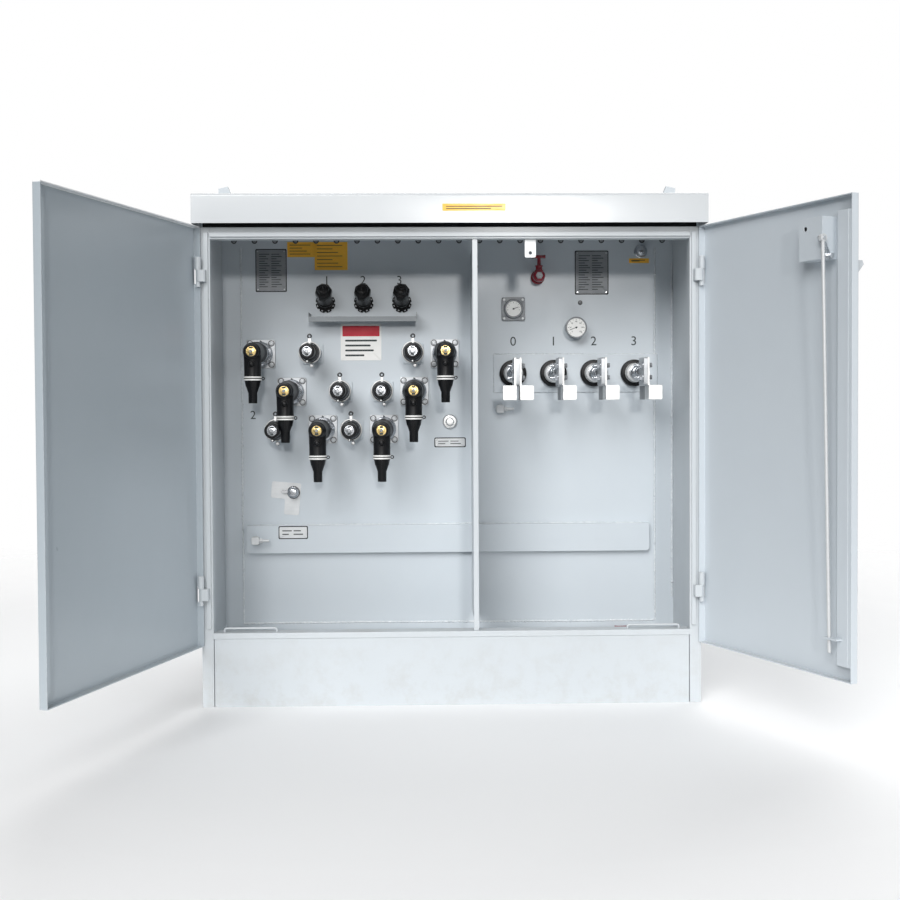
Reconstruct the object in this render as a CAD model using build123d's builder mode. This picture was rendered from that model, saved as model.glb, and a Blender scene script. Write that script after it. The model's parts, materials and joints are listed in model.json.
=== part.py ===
# Three-phase pad-mounted distribution transformer, loop feed and dead front, with its two
# cabinet doors standing open.
# Millimetres. +X is to the right as seen by someone standing at the doors, +Y goes back
# into the tank and +Z is up. The origin is on the floor at the middle of the tank's base.

import os
from math import cos, radians, sin

from build123d import *

# Tank
tank_width = 1600
tank_depth = 900
tank_height = 1760
tank_corner_radius = 30
front_plate_thickness = 8
front_plate_height = 1704
cover_overhang = 28
cover_thickness = 12
handhole_width = 520
handhole_depth = 260
handhole_height = 26

# Radiators on the tank's back
radiator_panel_count = 8
radiator_panel_pitch = 68
radiator_panel_thickness = 16
radiator_panel_depth = 240
radiator_panel_height = 1180
radiator_bottom = 260
radiator_spacing = 740
radiator_standoff = 96
header_depth = 46
header_height = 72
header_inset = 60
header_end_margin = 30
header_pipe_radius = 28
header_flange_rim = 20
header_flange_thickness = 14

# Lifting lugs on the tank's sides
lug_thickness = 20
lug_hole_radius = 22
lug_rise = 134
lug_reach = 92
lug_foot = 190
lug_from_tank_end = 70
lug_neck_drop = 58
lug_nose = 24
lug_tip_drop = 8
lug_hole_drop = 78

# Cabinet
cabinet_width = 1750
cabinet_depth = 505
cabinet_sheet = 4
post_width = 40
post_return = 46
frame_sheet = 4
rain_lip_width = 15
rain_lip_rise = 9
rain_lip_from_edge = 19
frame_top = 1672
head_beam_height = 41
sill_top = 260
sill_height = 20
sill_depth = 62
sill_sheet = 4
apron_sheet = 3
apron_gap = 3
rain_lip_bottom = 276

# Hood
hood_overhang = 15
hood_front_reach = 55
hood_bottom = 1679
hood_front_top = 1781
hood_rise = 16
hood_sheet = 3
hood_corner_radius = 10
hood_over_cover = 34

# Barrier between the two compartments
barrier_x = 84
barrier_sheet = 3
barrier_flange = 18
barrier_setback = 7

# Doors
door_bottom = 216
door_height = 1456
door_sheet = 3
door_depth = 26
door_edge = 12
door_skin_offset = 22
door_gap = 8
left_door_width = 970
left_open_angle = 106
right_open_angle = 113
door_return_lip = 15
door_lip_notch = 46
door_corner_radius = 4
hinge_reach = 20
hinge_inset = 2
hinge_heights = (398, 1502)
hinge_block_width = 31
hinge_block_height = 41
hinge_block_nose = 14
hinge_block_radius = 9
hinge_pin_radius = 8
hinge_pin_tail = 18
hinge_clearance = 0.08
hinge_seat_gap = 0.3
knuckle_radius = 10.7
knuckle_height = 44
notch_clearance = 6

# Latch on the right door
stiffener_gap = 4
stiffener_ramp = 30
stiffener_rise = 24
stiffener_sheet = 2.5
lock_box_from_edge = 96
lock_box_width = 108
lock_box_bottom = 1486
lock_box_height = 128
lock_box_depth = 53
lock_box_sheet = 2.5
lock_hole_radius = 7
lock_hole_from_edge = 30
lock_hole_from_top = 31
crank_pivot_height = 1494
crank_pivot_inward = 14
crank_length = 60
crank_angle = 62
crank_thickness = 5
crank_width = 20
crank_pin_radius = 5
crank_pin_length = 16
rod_radius = 5.5
rod_eye_radius = 12
rod_eye_thickness = 12
rod_eye_clearance = 0.08
rod_bottom = 298
rod_guide_height = 340
rod_guide_thickness = 5
rod_guide_width = 24
rod_guide_length = 60
rod_guide_clearance = 3
padlock_hood_from_edge = 24
padlock_hood_width = 92
padlock_hood_height = 60
padlock_hood_depth = 40
padlock_hood_bottom = 1478
padlock_hood_sheet = 2.5
keeper_width = 39
keeper_drop = 64
keeper_thickness = 5
keeper_hole_radius = 6
keeper_clearance = 6

# Sill handles
sill_handle_length = 183
sill_handle_rise = 12
sill_handle_radius = 4
sill_handle_from_post = 34
sill_handle_setback = 26

# High-voltage bushings and elbows
hv_middle_x = -371
hv_column_step = 118
hv_columns = (-3, -2, -1, 1, 2, 3)
hv_top_row = 1252
hv_row_step = 145.5
hv_flange_size = 111
hv_flange_thickness = 9
hv_collar_radius = 46
hv_collar_length = 22
hv_insert_radius = 34
hv_insert_length = 96
hv_insert_ring_rise = 4
hv_insert_ring_length = 12
hv_insert_ring_start = 44
elbow_cuff_radius = 40
elbow_cuff_length = 32
elbow_cuff_step = 8
elbow_barrel_radius = 33
elbow_front = 284
elbow_front_bevel = 6
elbow_leg_radius = 30.5
elbow_leg_setback = 36
elbow_leg_drop = 92
elbow_band_height = 14
elbow_band_rise = 2
elbow_cone_height = 41
elbow_cone_step = 3
elbow_tube_radius = 16
elbow_tube_length = 42
elbow_cap_radius = 22
elbow_cap_length = 9
test_point_radius = 11
test_point_drop = 46
test_point_reach = 7
pull_eye_radius = 9
pull_eye_hole_radius = 4.5
pull_eye_thickness = 6
pull_eye_setback = 4

# Parking bushings: column from the middle and row from the top, in the wells' own steps
parking_place_ratios = (
    (-1.305, 0), (1.975, 0), (-0.356, 1), (0.983, 1), (-2.407, 2), (-0.008, 2))
parking_plate_size = 79
parking_plate_thickness = 6
parking_foot_radius = 34
parking_body_radius = 27
parking_band_radius = 32
parking_front = 268
parking_cap_radius = 28
parking_cap_length = 22
parking_lug_rise = 70
parking_eye_radius = 10
parking_eye_hole_radius = 5.5
parking_strap_width = 12
parking_strap_thickness = 6

# Fuse holders and the drip shield below them
fuse_middle_x = -328
fuse_pitch = 147
fuse_height = 1448
fuse_tilt = 20
fuse_ring_radius = 38
fuse_ring_length = 18
fuse_ring_notches = 8
fuse_ring_notch_width = 11
fuse_ring_notch_depth = 5
fuse_body_radius = 28
fuse_body_start = 14
fuse_body_length = 92
fuse_waist_radius = 24
fuse_cap_radius = 31
fuse_cap_overlap = 6
fuse_cap_length = 34
fuse_cap_crown = 14
drip_shield_width = 411
drip_shield_reach = 96
drip_shield_top = 1390
drip_shield_lip = 19
drip_shield_sheet = 2.5
drip_shield_tab = 16

# Low-voltage bushings, spades and terminal plates
lv_first_x = 247
lv_pitch = 156.5
lv_height = 1173
lv_plate_width = 634
lv_plate_height = 146
lv_plate_thickness = 6
lv_plate_from_first = 73
lv_disc_radius = 52
lv_disc_length = 16
lv_disc_rounding = 4
lv_body_radius = 36
lv_body_length = 92
lv_hub_radius = 21
lv_hub_length = 62
lv_ball_radius = 29
lv_ball_reach = 18
spade_length = 118
spade_height = 102
spade_thickness = 13
spade_corner_radius = 8
spade_hole_radius = 7.1
spade_hole_pitch = 44.45
spade_hole_from_front = 30
terminal_thickness = 7
terminal_tab_width = 50
terminal_tab_height = 53
terminal_front_reach = 24
terminal_corner_radius = 6

# Gauges, valves and the small fittings
level_gauge_x = 250
level_gauge_rise = 249
level_gauge_size = 90
level_gauge_corner_radius = 6
level_gauge_thickness = 14
level_gauge_dial_radius = 35
level_gauge_dial_length = 14
level_gauge_bezel = 4
temp_gauge_x = 488
temp_gauge_rise = 174
temp_gauge_radius = 41
temp_gauge_length = 44
temp_gauge_neck_radius = 16
temp_gauge_neck_length = 18
temp_gauge_bezel = 5
relief_valve_x = 745
relief_valve_height = 1644
relief_valve_radius = 24
relief_valve_length = 36
fill_valve_x = 345
fill_valve_height = 1544
drain_valve_x = 657
drain_valve_height = 118
valve_flange_radius = 27
valve_flange_thickness = 8
valve_nipple_radius = 14
valve_nipple_length = 44
valve_body_radius = 24
valve_bonnet_radius = 15
valve_bonnet_foot_radius = 19
valve_bonnet_waist = 28
valve_bonnet_height = 40
valve_plug_radius = 16
valve_plug_length = 20
valve_stem_radius = 7
valve_stem_length = 34
valve_handle_length = 52
valve_handle_radius = 6
valve_clearance = 0.3
tap_x = -604
tap_height = 718
tap_plate_thickness = 2
tap_plate_tilt = 5
tap_plate_corner_radius = 7
tap_arm_left = 86
tap_arm_right = 27
tap_arm_top = 36
tap_arm_bottom = 28
tap_leg_width = 58
tap_leg_bottom = 88
tap_boss_radius = 20
tap_boss_length = 8
tap_knob_radius = 22
tap_knob_length = 26
tap_skirt_thickness = 5
tap_pointer_reach = 44
tap_pointer_width = 12
tap_clearance = 0.3
selector_x = 2
selector_height = 988
selector_collar_radius = 28
selector_collar_length = 12
selector_cap_radius = 17
selector_cap_length = 16
bar_left = -783
bar_right = 773
bar_bottom = 484
bar_height = 107
bar_depth = 30
bar_sheet = 5
bar_corner_radius = 14
ground_boss_radius = 17
ground_boss_length = 26
ground_block_corner_radius = 6
ground_stud_radius = 6
ground_stud_reach = 52
lv_ground_from_first = 51
lv_ground_drop = 137
hv_ground_from_bar_end = 38
hv_ground_drop = 54

# Places that follow from the sizes above
wall_y = -tank_depth / 2
frame_y = wall_y - cabinet_depth
half_cabinet = cabinet_width / 2
side_inner_x = half_cabinet - cabinet_sheet
opening_half = half_cabinet - post_width
opening_top = frame_top - head_beam_height
hinge_x = half_cabinet - hinge_inset
hinge_y = frame_y - hinge_reach
right_door_width = 2 * hinge_x - left_door_width - door_gap
lock_box_from_hinge = right_door_width - lock_box_from_edge - lock_box_width
padlock_hood_from_hinge = right_door_width - padlock_hood_from_edge - padlock_hood_width
level_gauge_height = lv_height + level_gauge_rise
temp_gauge_height = lv_height + temp_gauge_rise
lv_ground_x = lv_first_x - lv_ground_from_first
lv_ground_height = lv_height - lv_ground_drop
cover_top = tank_height + cover_thickness
hood_front_y = frame_y - hood_front_reach
hood_back_y = wall_y + hood_over_cover
hood_slope = hood_rise / (hood_back_y - hood_front_y)

os.makedirs("parts", exist_ok=True)


def save(piece, name):
    piece.part.label = name
    export_step(piece.part, f"parts/{name}.step")


def hood_underside(y):
    return hood_front_top - hood_sheet + (y - hood_front_y) * hood_slope


def wall_plane(out=0):
    # looks out of the tank's front wall, with local x along +X and local y up
    return Plane(origin=(0, wall_y - out, 0), x_dir=(1, 0, 0), z_dir=(0, -1, 0))


def section_plane(spot_x, spot_z, out=0):
    # cuts upright through a spot on the wall, with local x out of the wall and local y down
    return Plane(origin=(spot_x, wall_y - out, spot_z), x_dir=(0, -1, 0), z_dir=(1, 0, 0))


def leaf_plane(side, height, open_angle):
    # local x runs from the hinge to the door's free edge, z up; side is -1 left, +1 right
    turn = radians(open_angle)
    along = (-side * cos(turn), -sin(turn), 0)
    return Plane(origin=(side * hinge_x, hinge_y, height), x_dir=along, z_dir=(0, 0, 1))


# Tank: a welded steel box with rounded upright corners
with BuildPart() as tank:
    with BuildSketch():
        with Locations((0, front_plate_thickness / 2)):
            RectangleRounded(tank_width, tank_depth - front_plate_thickness, tank_corner_radius)
    extrude(amount=tank_height)
save(tank, "tank")

# Front plate: the tank's front wall, carried out to both cabinet sides
with BuildPart() as tank_front_plate:
    with BuildSketch(wall_plane(-front_plate_thickness)):
        with Locations((0, front_plate_height / 2)):
            Rectangle(2 * side_inner_x, front_plate_height)
    extrude(amount=front_plate_thickness)
save(tank_front_plate, "tank_front_plate")

# Cover with its raised handhole lid
with BuildPart() as tank_cover:
    with BuildSketch(Plane.XY.offset(tank_height)):
        RectangleRounded(
            tank_width + 2 * cover_overhang, tank_depth + 2 * cover_overhang,
            tank_corner_radius + cover_overhang)
    extrude(amount=cover_thickness)
    with BuildSketch(Plane.XY.offset(cover_top)):
        with Locations((0, tank_depth / 8)):
            RectangleRounded(handhole_width, handhole_depth, handhole_height)
    extrude(amount=handhole_height, taper=12)
save(tank_cover, "tank_cover")


# Radiator banks: flat panels with rounded edges, welded to box headers piped to the tank
panels_front_y = tank_depth / 2 + radiator_standoff
header_length = (radiator_panel_count - 1) * radiator_panel_pitch + header_end_margin


def radiator_panels(middle_x):
    with BuildPart() as bank:
        with BuildSketch(Plane.XY.offset(radiator_bottom)):
            with Locations((middle_x, panels_front_y + radiator_panel_depth / 2)):
                with GridLocations(radiator_panel_pitch, 1, radiator_panel_count, 1):
                    RectangleRounded(
                        radiator_panel_thickness, radiator_panel_depth,
                        radiator_panel_thickness * 0.4)
        extrude(amount=radiator_panel_height)
    return bank


save(radiator_panels(-radiator_spacing / 2), "left_radiator")
save(radiator_panels(radiator_spacing / 2), "right_radiator")

with BuildPart() as radiator_headers:
    for middle_x in (-radiator_spacing / 2, radiator_spacing / 2):
        for height in (
                radiator_bottom + header_inset,
                radiator_bottom + radiator_panel_height - header_inset):
            with BuildSketch(Plane.YZ.offset(middle_x - header_length / 2)):
                with Locations((panels_front_y - header_depth / 2, height)):
                    RectangleRounded(header_depth, header_height, header_depth * 0.2)
            extrude(amount=header_length)
            with BuildSketch(Plane.XZ.offset(-tank_depth / 2)):
                with GridLocations(header_length / 2, 1, 2, 1):
                    with Locations((middle_x, height)):
                        Circle(header_pipe_radius)
            extrude(amount=-(radiator_standoff - header_depth / 2))
            with BuildSketch(Plane.XZ.offset(-tank_depth / 2)):
                with GridLocations(header_length / 2, 1, 2, 1):
                    with Locations((middle_x, height)):
                        Circle(header_pipe_radius + header_flange_rim)
            extrude(amount=-header_flange_thickness)
save(radiator_headers, "radiator_headers")

# Lifting lugs: hook plates on the tank's sides, one near each corner
lug_top = cover_top + lug_rise
lug_edge = cover_overhang + 4
with BuildPart() as lifting_lugs:
    for end in (-1, 1):
        lug_y = end * (tank_depth / 2 - lug_from_tank_end)
        with BuildSketch(Plane.XZ.offset(-lug_y - lug_thickness / 2)):
            with BuildLine():
                Polyline(
                    (tank_width / 2, tank_height - lug_foot),
                    (tank_width / 2, tank_height - cover_thickness),
                    (tank_width / 2 + lug_edge, tank_height - cover_thickness),
                    (tank_width / 2 + lug_edge, lug_top - lug_neck_drop),
                    (tank_width / 2 + lug_edge + lug_nose, lug_top),
                    (tank_width / 2 + lug_reach, lug_top - lug_tip_drop),
                    (tank_width / 2 + lug_reach, tank_height - lug_foot * 0.45),
                    close=True)
            make_face()
            with Locations(
                    (tank_width / 2 + (lug_edge + lug_reach) / 2, lug_top - lug_hole_drop)):
                Circle(lug_hole_radius, mode=Mode.SUBTRACT)
        extrude(amount=lug_thickness)
    mirror(about=Plane.YZ)
save(lifting_lugs, "lifting_lugs")

# Cabinet sides run from the front wall to the door posts and up to the hood
with BuildPart() as cabinet_left_side:
    with BuildSketch(Plane.YZ.offset(-half_cabinet)):
        with BuildLine():
            Polyline(
                (wall_y + front_plate_thickness, 0),
                (wall_y + front_plate_thickness, front_plate_height),
                (wall_y, hood_underside(wall_y)),
                (frame_y + frame_sheet, hood_underside(frame_y + frame_sheet)),
                (frame_y + frame_sheet, 0),
                close=True)
        make_face()
    extrude(amount=cabinet_sheet)
save(cabinet_left_side, "cabinet_left_side")

with BuildPart() as cabinet_right_side:
    mirror(cabinet_left_side.part, about=Plane.YZ)
save(cabinet_right_side, "cabinet_right_side")

# Door posts: folded angles with a rain lip standing proud along the opening
with BuildPart() as left_post:
    with BuildSketch():
        with BuildLine():
            Polyline(
                (-half_cabinet, frame_y),
                (-opening_half, frame_y),
                (-opening_half, frame_y + post_return),
                (-opening_half - frame_sheet, frame_y + post_return),
                (-opening_half - frame_sheet, frame_y + frame_sheet),
                (-half_cabinet, frame_y + frame_sheet),
                close=True)
        make_face()
    extrude(amount=frame_top)
    with BuildSketch(Plane.XY.offset(rain_lip_bottom)):
        with Locations((-half_cabinet + rain_lip_from_edge, frame_y)):
            Rectangle(rain_lip_width, rain_lip_rise, align=(Align.MIN, Align.MAX))
    extrude(amount=frame_top - rain_lip_from_edge - rain_lip_bottom)
save(left_post, "left_post")

with BuildPart() as right_post:
    mirror(left_post.part, about=Plane.YZ)
save(right_post, "right_post")

# Head beam between the posts
with BuildPart() as head_beam:
    with BuildSketch(Plane.YZ.offset(-opening_half)):
        with BuildLine():
            Polyline(
                (frame_y, frame_top),
                (frame_y, opening_top),
                (frame_y + post_return, opening_top),
                (frame_y + post_return, opening_top + frame_sheet),
                (frame_y + frame_sheet, opening_top + frame_sheet),
                (frame_y + frame_sheet, frame_top),
                close=True)
        make_face()
    extrude(amount=2 * opening_half)
    with BuildSketch(Plane.XZ.offset(-frame_y)):
        with Locations((0, frame_top - rain_lip_from_edge)):
            Rectangle(2 * opening_half, rain_lip_width, align=(Align.CENTER, Align.MAX))
    extrude(amount=rain_lip_rise)
save(head_beam, "head_beam")

# Sill with its front lip, and the apron panel that closes the front down to the floor
with BuildPart() as sill:
    with BuildSketch(Plane.YZ.offset(-opening_half)):
        with BuildLine():
            Polyline(
                (frame_y - sill_sheet, sill_top - sill_height),
                (frame_y - sill_sheet, sill_top),
                (frame_y + sill_depth, sill_top),
                (frame_y + sill_depth, sill_top - sill_sheet),
                (frame_y, sill_top - sill_sheet),
                (frame_y, sill_top - sill_height),
                close=True)
        make_face()
    extrude(amount=2 * opening_half)
save(sill, "sill")

with BuildPart() as apron:
    with BuildSketch(Plane.XZ.offset(-frame_y - apron_sheet)):
        with Locations((0, 0)):
            Rectangle(
                2 * (opening_half - apron_gap), sill_top - sill_sheet,
                align=(Align.CENTER, Align.MIN))
    extrude(amount=apron_sheet)
    with BuildSketch(Plane.YZ.offset(-opening_half + frame_sheet)):
        with Locations((frame_y, 0)):
            Rectangle(post_return, post_return, align=(Align.MIN, Align.MIN))
        with Locations((frame_y + apron_sheet, apron_sheet)):
            Rectangle(
                post_return, post_return, align=(Align.MIN, Align.MIN), mode=Mode.SUBTRACT)
    extrude(amount=2 * (opening_half - frame_sheet))
save(apron, "apron")

# Hood: a folded sheet roof, open below, that laps over the tank's cover
hood_width = cabinet_width + 2 * hood_overhang
hood_step_y = wall_y - 2 * hood_sheet
with BuildPart() as hood:
    with BuildSketch(Plane.YZ.offset(-hood_width / 2)):
        with BuildLine():
            Polyline(
                (hood_front_y, hood_bottom),
                (hood_front_y, hood_front_top),
                (hood_back_y, hood_front_top + hood_rise),
                (hood_back_y, cover_top),
                (hood_step_y, cover_top),
                (hood_step_y, hood_bottom),
                close=True)
        make_face()
    extrude(amount=hood_width)
    fillet(hood.edges().filter_by(Axis.X).group_by(Axis.Z)[-2:], radius=hood_corner_radius)
    with BuildSketch(Plane.YZ.offset(-hood_width / 2 + hood_sheet)):
        with BuildLine():
            Polyline(
                (hood_front_y + hood_sheet, hood_bottom - 1),
                (hood_front_y + hood_sheet, hood_underside(hood_front_y + hood_sheet)),
                (hood_back_y - hood_sheet, hood_underside(hood_back_y - hood_sheet)),
                (hood_back_y - hood_sheet, cover_top - 1),
                (hood_back_y - hood_sheet, hood_bottom - 1),
                close=True)
        make_face()
    extrude(amount=hood_width - 2 * hood_sheet, mode=Mode.SUBTRACT)
save(hood, "hood")

# Barrier sheet with a flange at the front and one at the wall, cut out around the bar
with BuildPart() as barrier:
    with BuildSketch(Plane.XY.offset(sill_top)):
        with BuildLine():
            Polyline(
                (barrier_x, wall_y),
                (barrier_x, frame_y + barrier_setback + barrier_sheet),
                (barrier_x - barrier_flange / 2, frame_y + barrier_setback + barrier_sheet),
                (barrier_x - barrier_flange / 2, frame_y + barrier_setback),
                (barrier_x + barrier_flange / 2, frame_y + barrier_setback),
                (barrier_x + barrier_flange / 2, frame_y + barrier_setback + barrier_sheet),
                (barrier_x + barrier_sheet, frame_y + barrier_setback + barrier_sheet),
                (barrier_x + barrier_sheet, wall_y - barrier_sheet),
                (barrier_x + barrier_flange, wall_y - barrier_sheet),
                (barrier_x + barrier_flange, wall_y),
                close=True)
        make_face()
    extrude(amount=opening_top - sill_top)
    with BuildSketch(Plane.XZ.offset(-wall_y)):
        with Locations((barrier_x, bar_bottom + bar_height / 2)):
            Rectangle(3 * barrier_flange, bar_height + 2 * bar_sheet)
    extrude(amount=bar_depth + bar_sheet, mode=Mode.SUBTRACT)
save(barrier, "barrier")

# Low hoops on the sill, one near each post
with BuildPart() as sill_handles:
    for side in (-1, 1):
        outer_x = side * (opening_half - sill_handle_from_post)
        inner_x = outer_x - side * sill_handle_length
        with BuildLine() as hoop:
            FilletPolyline(
                (outer_x, frame_y + sill_handle_setback, sill_top),
                (outer_x, frame_y + sill_handle_setback, sill_top + sill_handle_rise),
                (inner_x, frame_y + sill_handle_setback, sill_top + sill_handle_rise),
                (inner_x, frame_y + sill_handle_setback, sill_top),
                radius=sill_handle_rise * 0.7)
        with BuildSketch(Plane(origin=(outer_x, frame_y + sill_handle_setback, sill_top))):
            Circle(sill_handle_radius)
        sweep(path=hoop.line)
save(sill_handles, "sill_handles")

# Hinge blocks on the posts, each with its upright pin
with BuildPart() as hinge_blocks:
    for height in hinge_heights:
        with BuildSketch(Plane.XY.offset(height - hinge_block_height / 2)):
            with Locations((hinge_x + 2 * hinge_inset, frame_y)):
                Rectangle(
                    hinge_block_width, hinge_reach + hinge_block_nose,
                    align=(Align.MAX, Align.MAX))
            fillet(
                vertices().group_by(Axis.Y)[0].sort_by(Axis.X), radius=hinge_block_radius)
            with Locations((half_cabinet - rain_lip_from_edge, frame_y)):
                Rectangle(
                    rain_lip_width, rain_lip_rise, align=(Align.MAX, Align.MAX),
                    mode=Mode.SUBTRACT)
        extrude(amount=hinge_block_height)
        with BuildSketch(
                Plane.XY.offset(height - hinge_block_height / 2 - hinge_pin_tail)):
            with Locations((hinge_x, hinge_y)):
                Circle(hinge_pin_radius)
        extrude(amount=hinge_pin_tail + hinge_block_height + knuckle_height)
    mirror(about=Plane.YZ)
save(hinge_blocks, "hinge_blocks")


# Door: a folded pan with flanges on all four sides and a return lip on the free edge
def door_pan(side, width, open_angle):
    inner = -side
    skin_out = -inner * door_skin_offset
    flange_end = -inner * (door_skin_offset - door_depth)
    leaf = leaf_plane(side, door_bottom, open_angle)
    with BuildPart() as pan:
        with BuildSketch(leaf):
            with Locations(((width - door_edge) / 2, (skin_out + flange_end) / 2)):
                Rectangle(width + door_edge, door_depth)
        extrude(amount=door_height)
        fillet(
            pan.edges().filter_by(Axis.Z).sort_by(
                lambda edge: -inner * leaf.to_local_coords(edge.center()).Y)[-2:],
            radius=door_corner_radius)
        with BuildSketch(leaf.offset(door_sheet)):
            with Locations(((width - door_edge) / 2, (skin_out + flange_end) / 2
                            + inner * door_sheet)):
                Rectangle(width + door_edge - 2 * door_sheet, door_depth)
        extrude(amount=door_height - 2 * door_sheet, mode=Mode.SUBTRACT)
        with BuildSketch(leaf.offset(door_lip_notch)):
            with Locations((width - door_return_lip / 2, flange_end - inner * door_sheet / 2)):
                Rectangle(door_return_lip, door_sheet)
        extrude(amount=door_height - 2 * door_lip_notch)
        for height in hinge_heights:
            notch = hinge_block_height + 2 * notch_clearance
            with BuildSketch(leaf.offset(height - notch / 2 - door_bottom)):
                with Locations((-door_edge, flange_end)):
                    Rectangle(3 * door_sheet, 2 * (door_depth - door_sheet))
            extrude(amount=notch, mode=Mode.SUBTRACT)
    return pan


# Knuckles welded inside the hinge flange, each sitting on its block
def door_knuckles(side, open_angle):
    with BuildPart() as knuckles:
        for height in hinge_heights:
            seat = height + hinge_block_height / 2 + hinge_seat_gap
            with BuildSketch(leaf_plane(side, seat, open_angle)):
                Circle(knuckle_radius)
                with Locations((-door_edge + door_sheet, 0)):
                    Rectangle(
                        door_edge - door_sheet, knuckle_radius, align=(Align.MIN, Align.CENTER))
                Circle(hinge_pin_radius + hinge_clearance, mode=Mode.SUBTRACT)
                with Locations((-door_edge + door_sheet, 0)):
                    Rectangle(
                        2 * door_edge, 4 * knuckle_radius, align=(Align.MAX, Align.CENTER),
                        mode=Mode.SUBTRACT)
            extrude(amount=knuckle_height)
    return knuckles


save(door_pan(-1, left_door_width, left_open_angle), "left_door")
save(door_knuckles(-1, left_open_angle), "left_door_knuckles")
save(door_pan(1, right_door_width, right_open_angle), "right_door")
save(door_knuckles(1, right_open_angle), "right_door_knuckles")


# Latch gear on the right door. Local x runs from the hinge to the free edge, and local y
# points out of the cabinet when the door is shut, so the inner side is at negative y.
def right_leaf(height):
    return leaf_plane(1, height, right_open_angle)


skin_inner = door_skin_offset - door_sheet
stiffener_foot = lock_box_from_hinge + lock_box_width + stiffener_gap

with BuildPart() as door_stiffener:
    with BuildSketch(right_leaf(door_bottom + door_lip_notch)):
        with BuildLine():
            Polyline(
                (stiffener_foot, skin_inner),
                (stiffener_foot + stiffener_ramp, skin_inner - stiffener_rise),
                (right_door_width - door_return_lip, skin_inner - stiffener_rise),
                (right_door_width - door_return_lip, skin_inner - stiffener_rise
                 + stiffener_sheet),
                (stiffener_foot + stiffener_ramp + 1, skin_inner - stiffener_rise
                 + stiffener_sheet),
                (stiffener_foot + stiffener_sheet * 1.8, skin_inner),
                close=True)
        make_face()
    extrude(amount=door_height - 2 * door_lip_notch)
save(door_stiffener, "door_stiffener")

lock_box_face = skin_inner - lock_box_depth
with BuildPart() as lock_box:
    with BuildSketch(right_leaf(lock_box_bottom)):
        with Locations((lock_box_from_hinge, skin_inner)):
            Rectangle(lock_box_width, lock_box_depth, align=(Align.MIN, Align.MAX))
    extrude(amount=lock_box_height)
    with BuildSketch(right_leaf(lock_box_bottom + lock_box_sheet)):
        with Locations((lock_box_from_hinge + lock_box_sheet, skin_inner)):
            Rectangle(
                lock_box_width - 2 * lock_box_sheet, lock_box_depth - lock_box_sheet,
                align=(Align.MIN, Align.MAX))
    extrude(amount=lock_box_height - 2 * lock_box_sheet, mode=Mode.SUBTRACT)
    lock_hole_place = right_leaf(lock_box_bottom + lock_box_height - lock_hole_from_top)
    lock_hole_face = Plane(
        origin=lock_hole_place.from_local_coords(
            (lock_box_from_hinge + lock_hole_from_edge, lock_box_face, 0)),
        x_dir=lock_hole_place.x_dir, z_dir=lock_hole_place.y_dir)
    with BuildSketch(lock_hole_face):
        Circle(lock_hole_radius)
    extrude(amount=lock_box_sheet, mode=Mode.SUBTRACT)
save(lock_box, "lock_box")

with BuildPart() as padlock_hood:
    hood_side = Plane(
        origin=right_leaf(padlock_hood_bottom).from_local_coords(
            (padlock_hood_from_hinge, door_skin_offset, 0)),
        x_dir=right_leaf(0).y_dir, z_dir=-right_leaf(0).x_dir)
    with BuildSketch(hood_side.offset(-padlock_hood_width)):
        with BuildLine():
            Polyline(
                (0, padlock_hood_height), (padlock_hood_depth, padlock_hood_height * 0.2),
                (padlock_hood_depth * 0.85, 0), (0, 0), close=True)
        make_face()
    extrude(amount=padlock_hood_width)
    with BuildSketch(hood_side.offset(-padlock_hood_width + padlock_hood_sheet)):
        with BuildLine():
            Polyline(
                (0, padlock_hood_height - 2 * padlock_hood_sheet),
                (padlock_hood_depth - 2 * padlock_hood_sheet, padlock_hood_height * 0.2),
                (padlock_hood_depth * 0.85 - 2 * padlock_hood_sheet, 0), (0, 0), close=True)
        make_face()
    extrude(amount=padlock_hood_width - 2 * padlock_hood_sheet, mode=Mode.SUBTRACT)
save(padlock_hood, "padlock_hood")

# Crank on the side of the lock box, and the rod that hangs from its pin down to the guide
crank_x = lock_box_from_hinge + lock_box_width + hinge_seat_gap
pivot_y = -crank_pivot_inward
eye_y = pivot_y - crank_length * cos(radians(crank_angle))
eye_height = crank_pivot_height + crank_length * sin(radians(crank_angle))
guide_y = pivot_y
rod_x = crank_x + crank_thickness + hinge_seat_gap + rod_eye_thickness / 2


def crank_side(offset):
    # looks back along the door to its hinge, with local x out of the cabinet and local y up
    leaf = right_leaf(0)
    return Plane(
        origin=leaf.from_local_coords((offset, 0, 0)), x_dir=leaf.y_dir, z_dir=leaf.x_dir)


with BuildPart() as latch_crank:
    with BuildSketch(crank_side(crank_x)):
        with Locations(
                Location(((pivot_y + eye_y) / 2, (crank_pivot_height + eye_height) / 2, 0),
                         (0, 0, -crank_angle))):
            SlotCenterToCenter(crank_length, crank_width)
    extrude(amount=crank_thickness)
    with BuildSketch(crank_side(crank_x + crank_thickness)):
        with Locations((pivot_y, crank_pivot_height)):
            RegularPolygon(crank_width * 0.45, 6)
        with Locations((eye_y, eye_height)):
            Circle(crank_pin_radius)
    extrude(amount=crank_pin_length)
save(latch_crank, "latch_crank")

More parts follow.
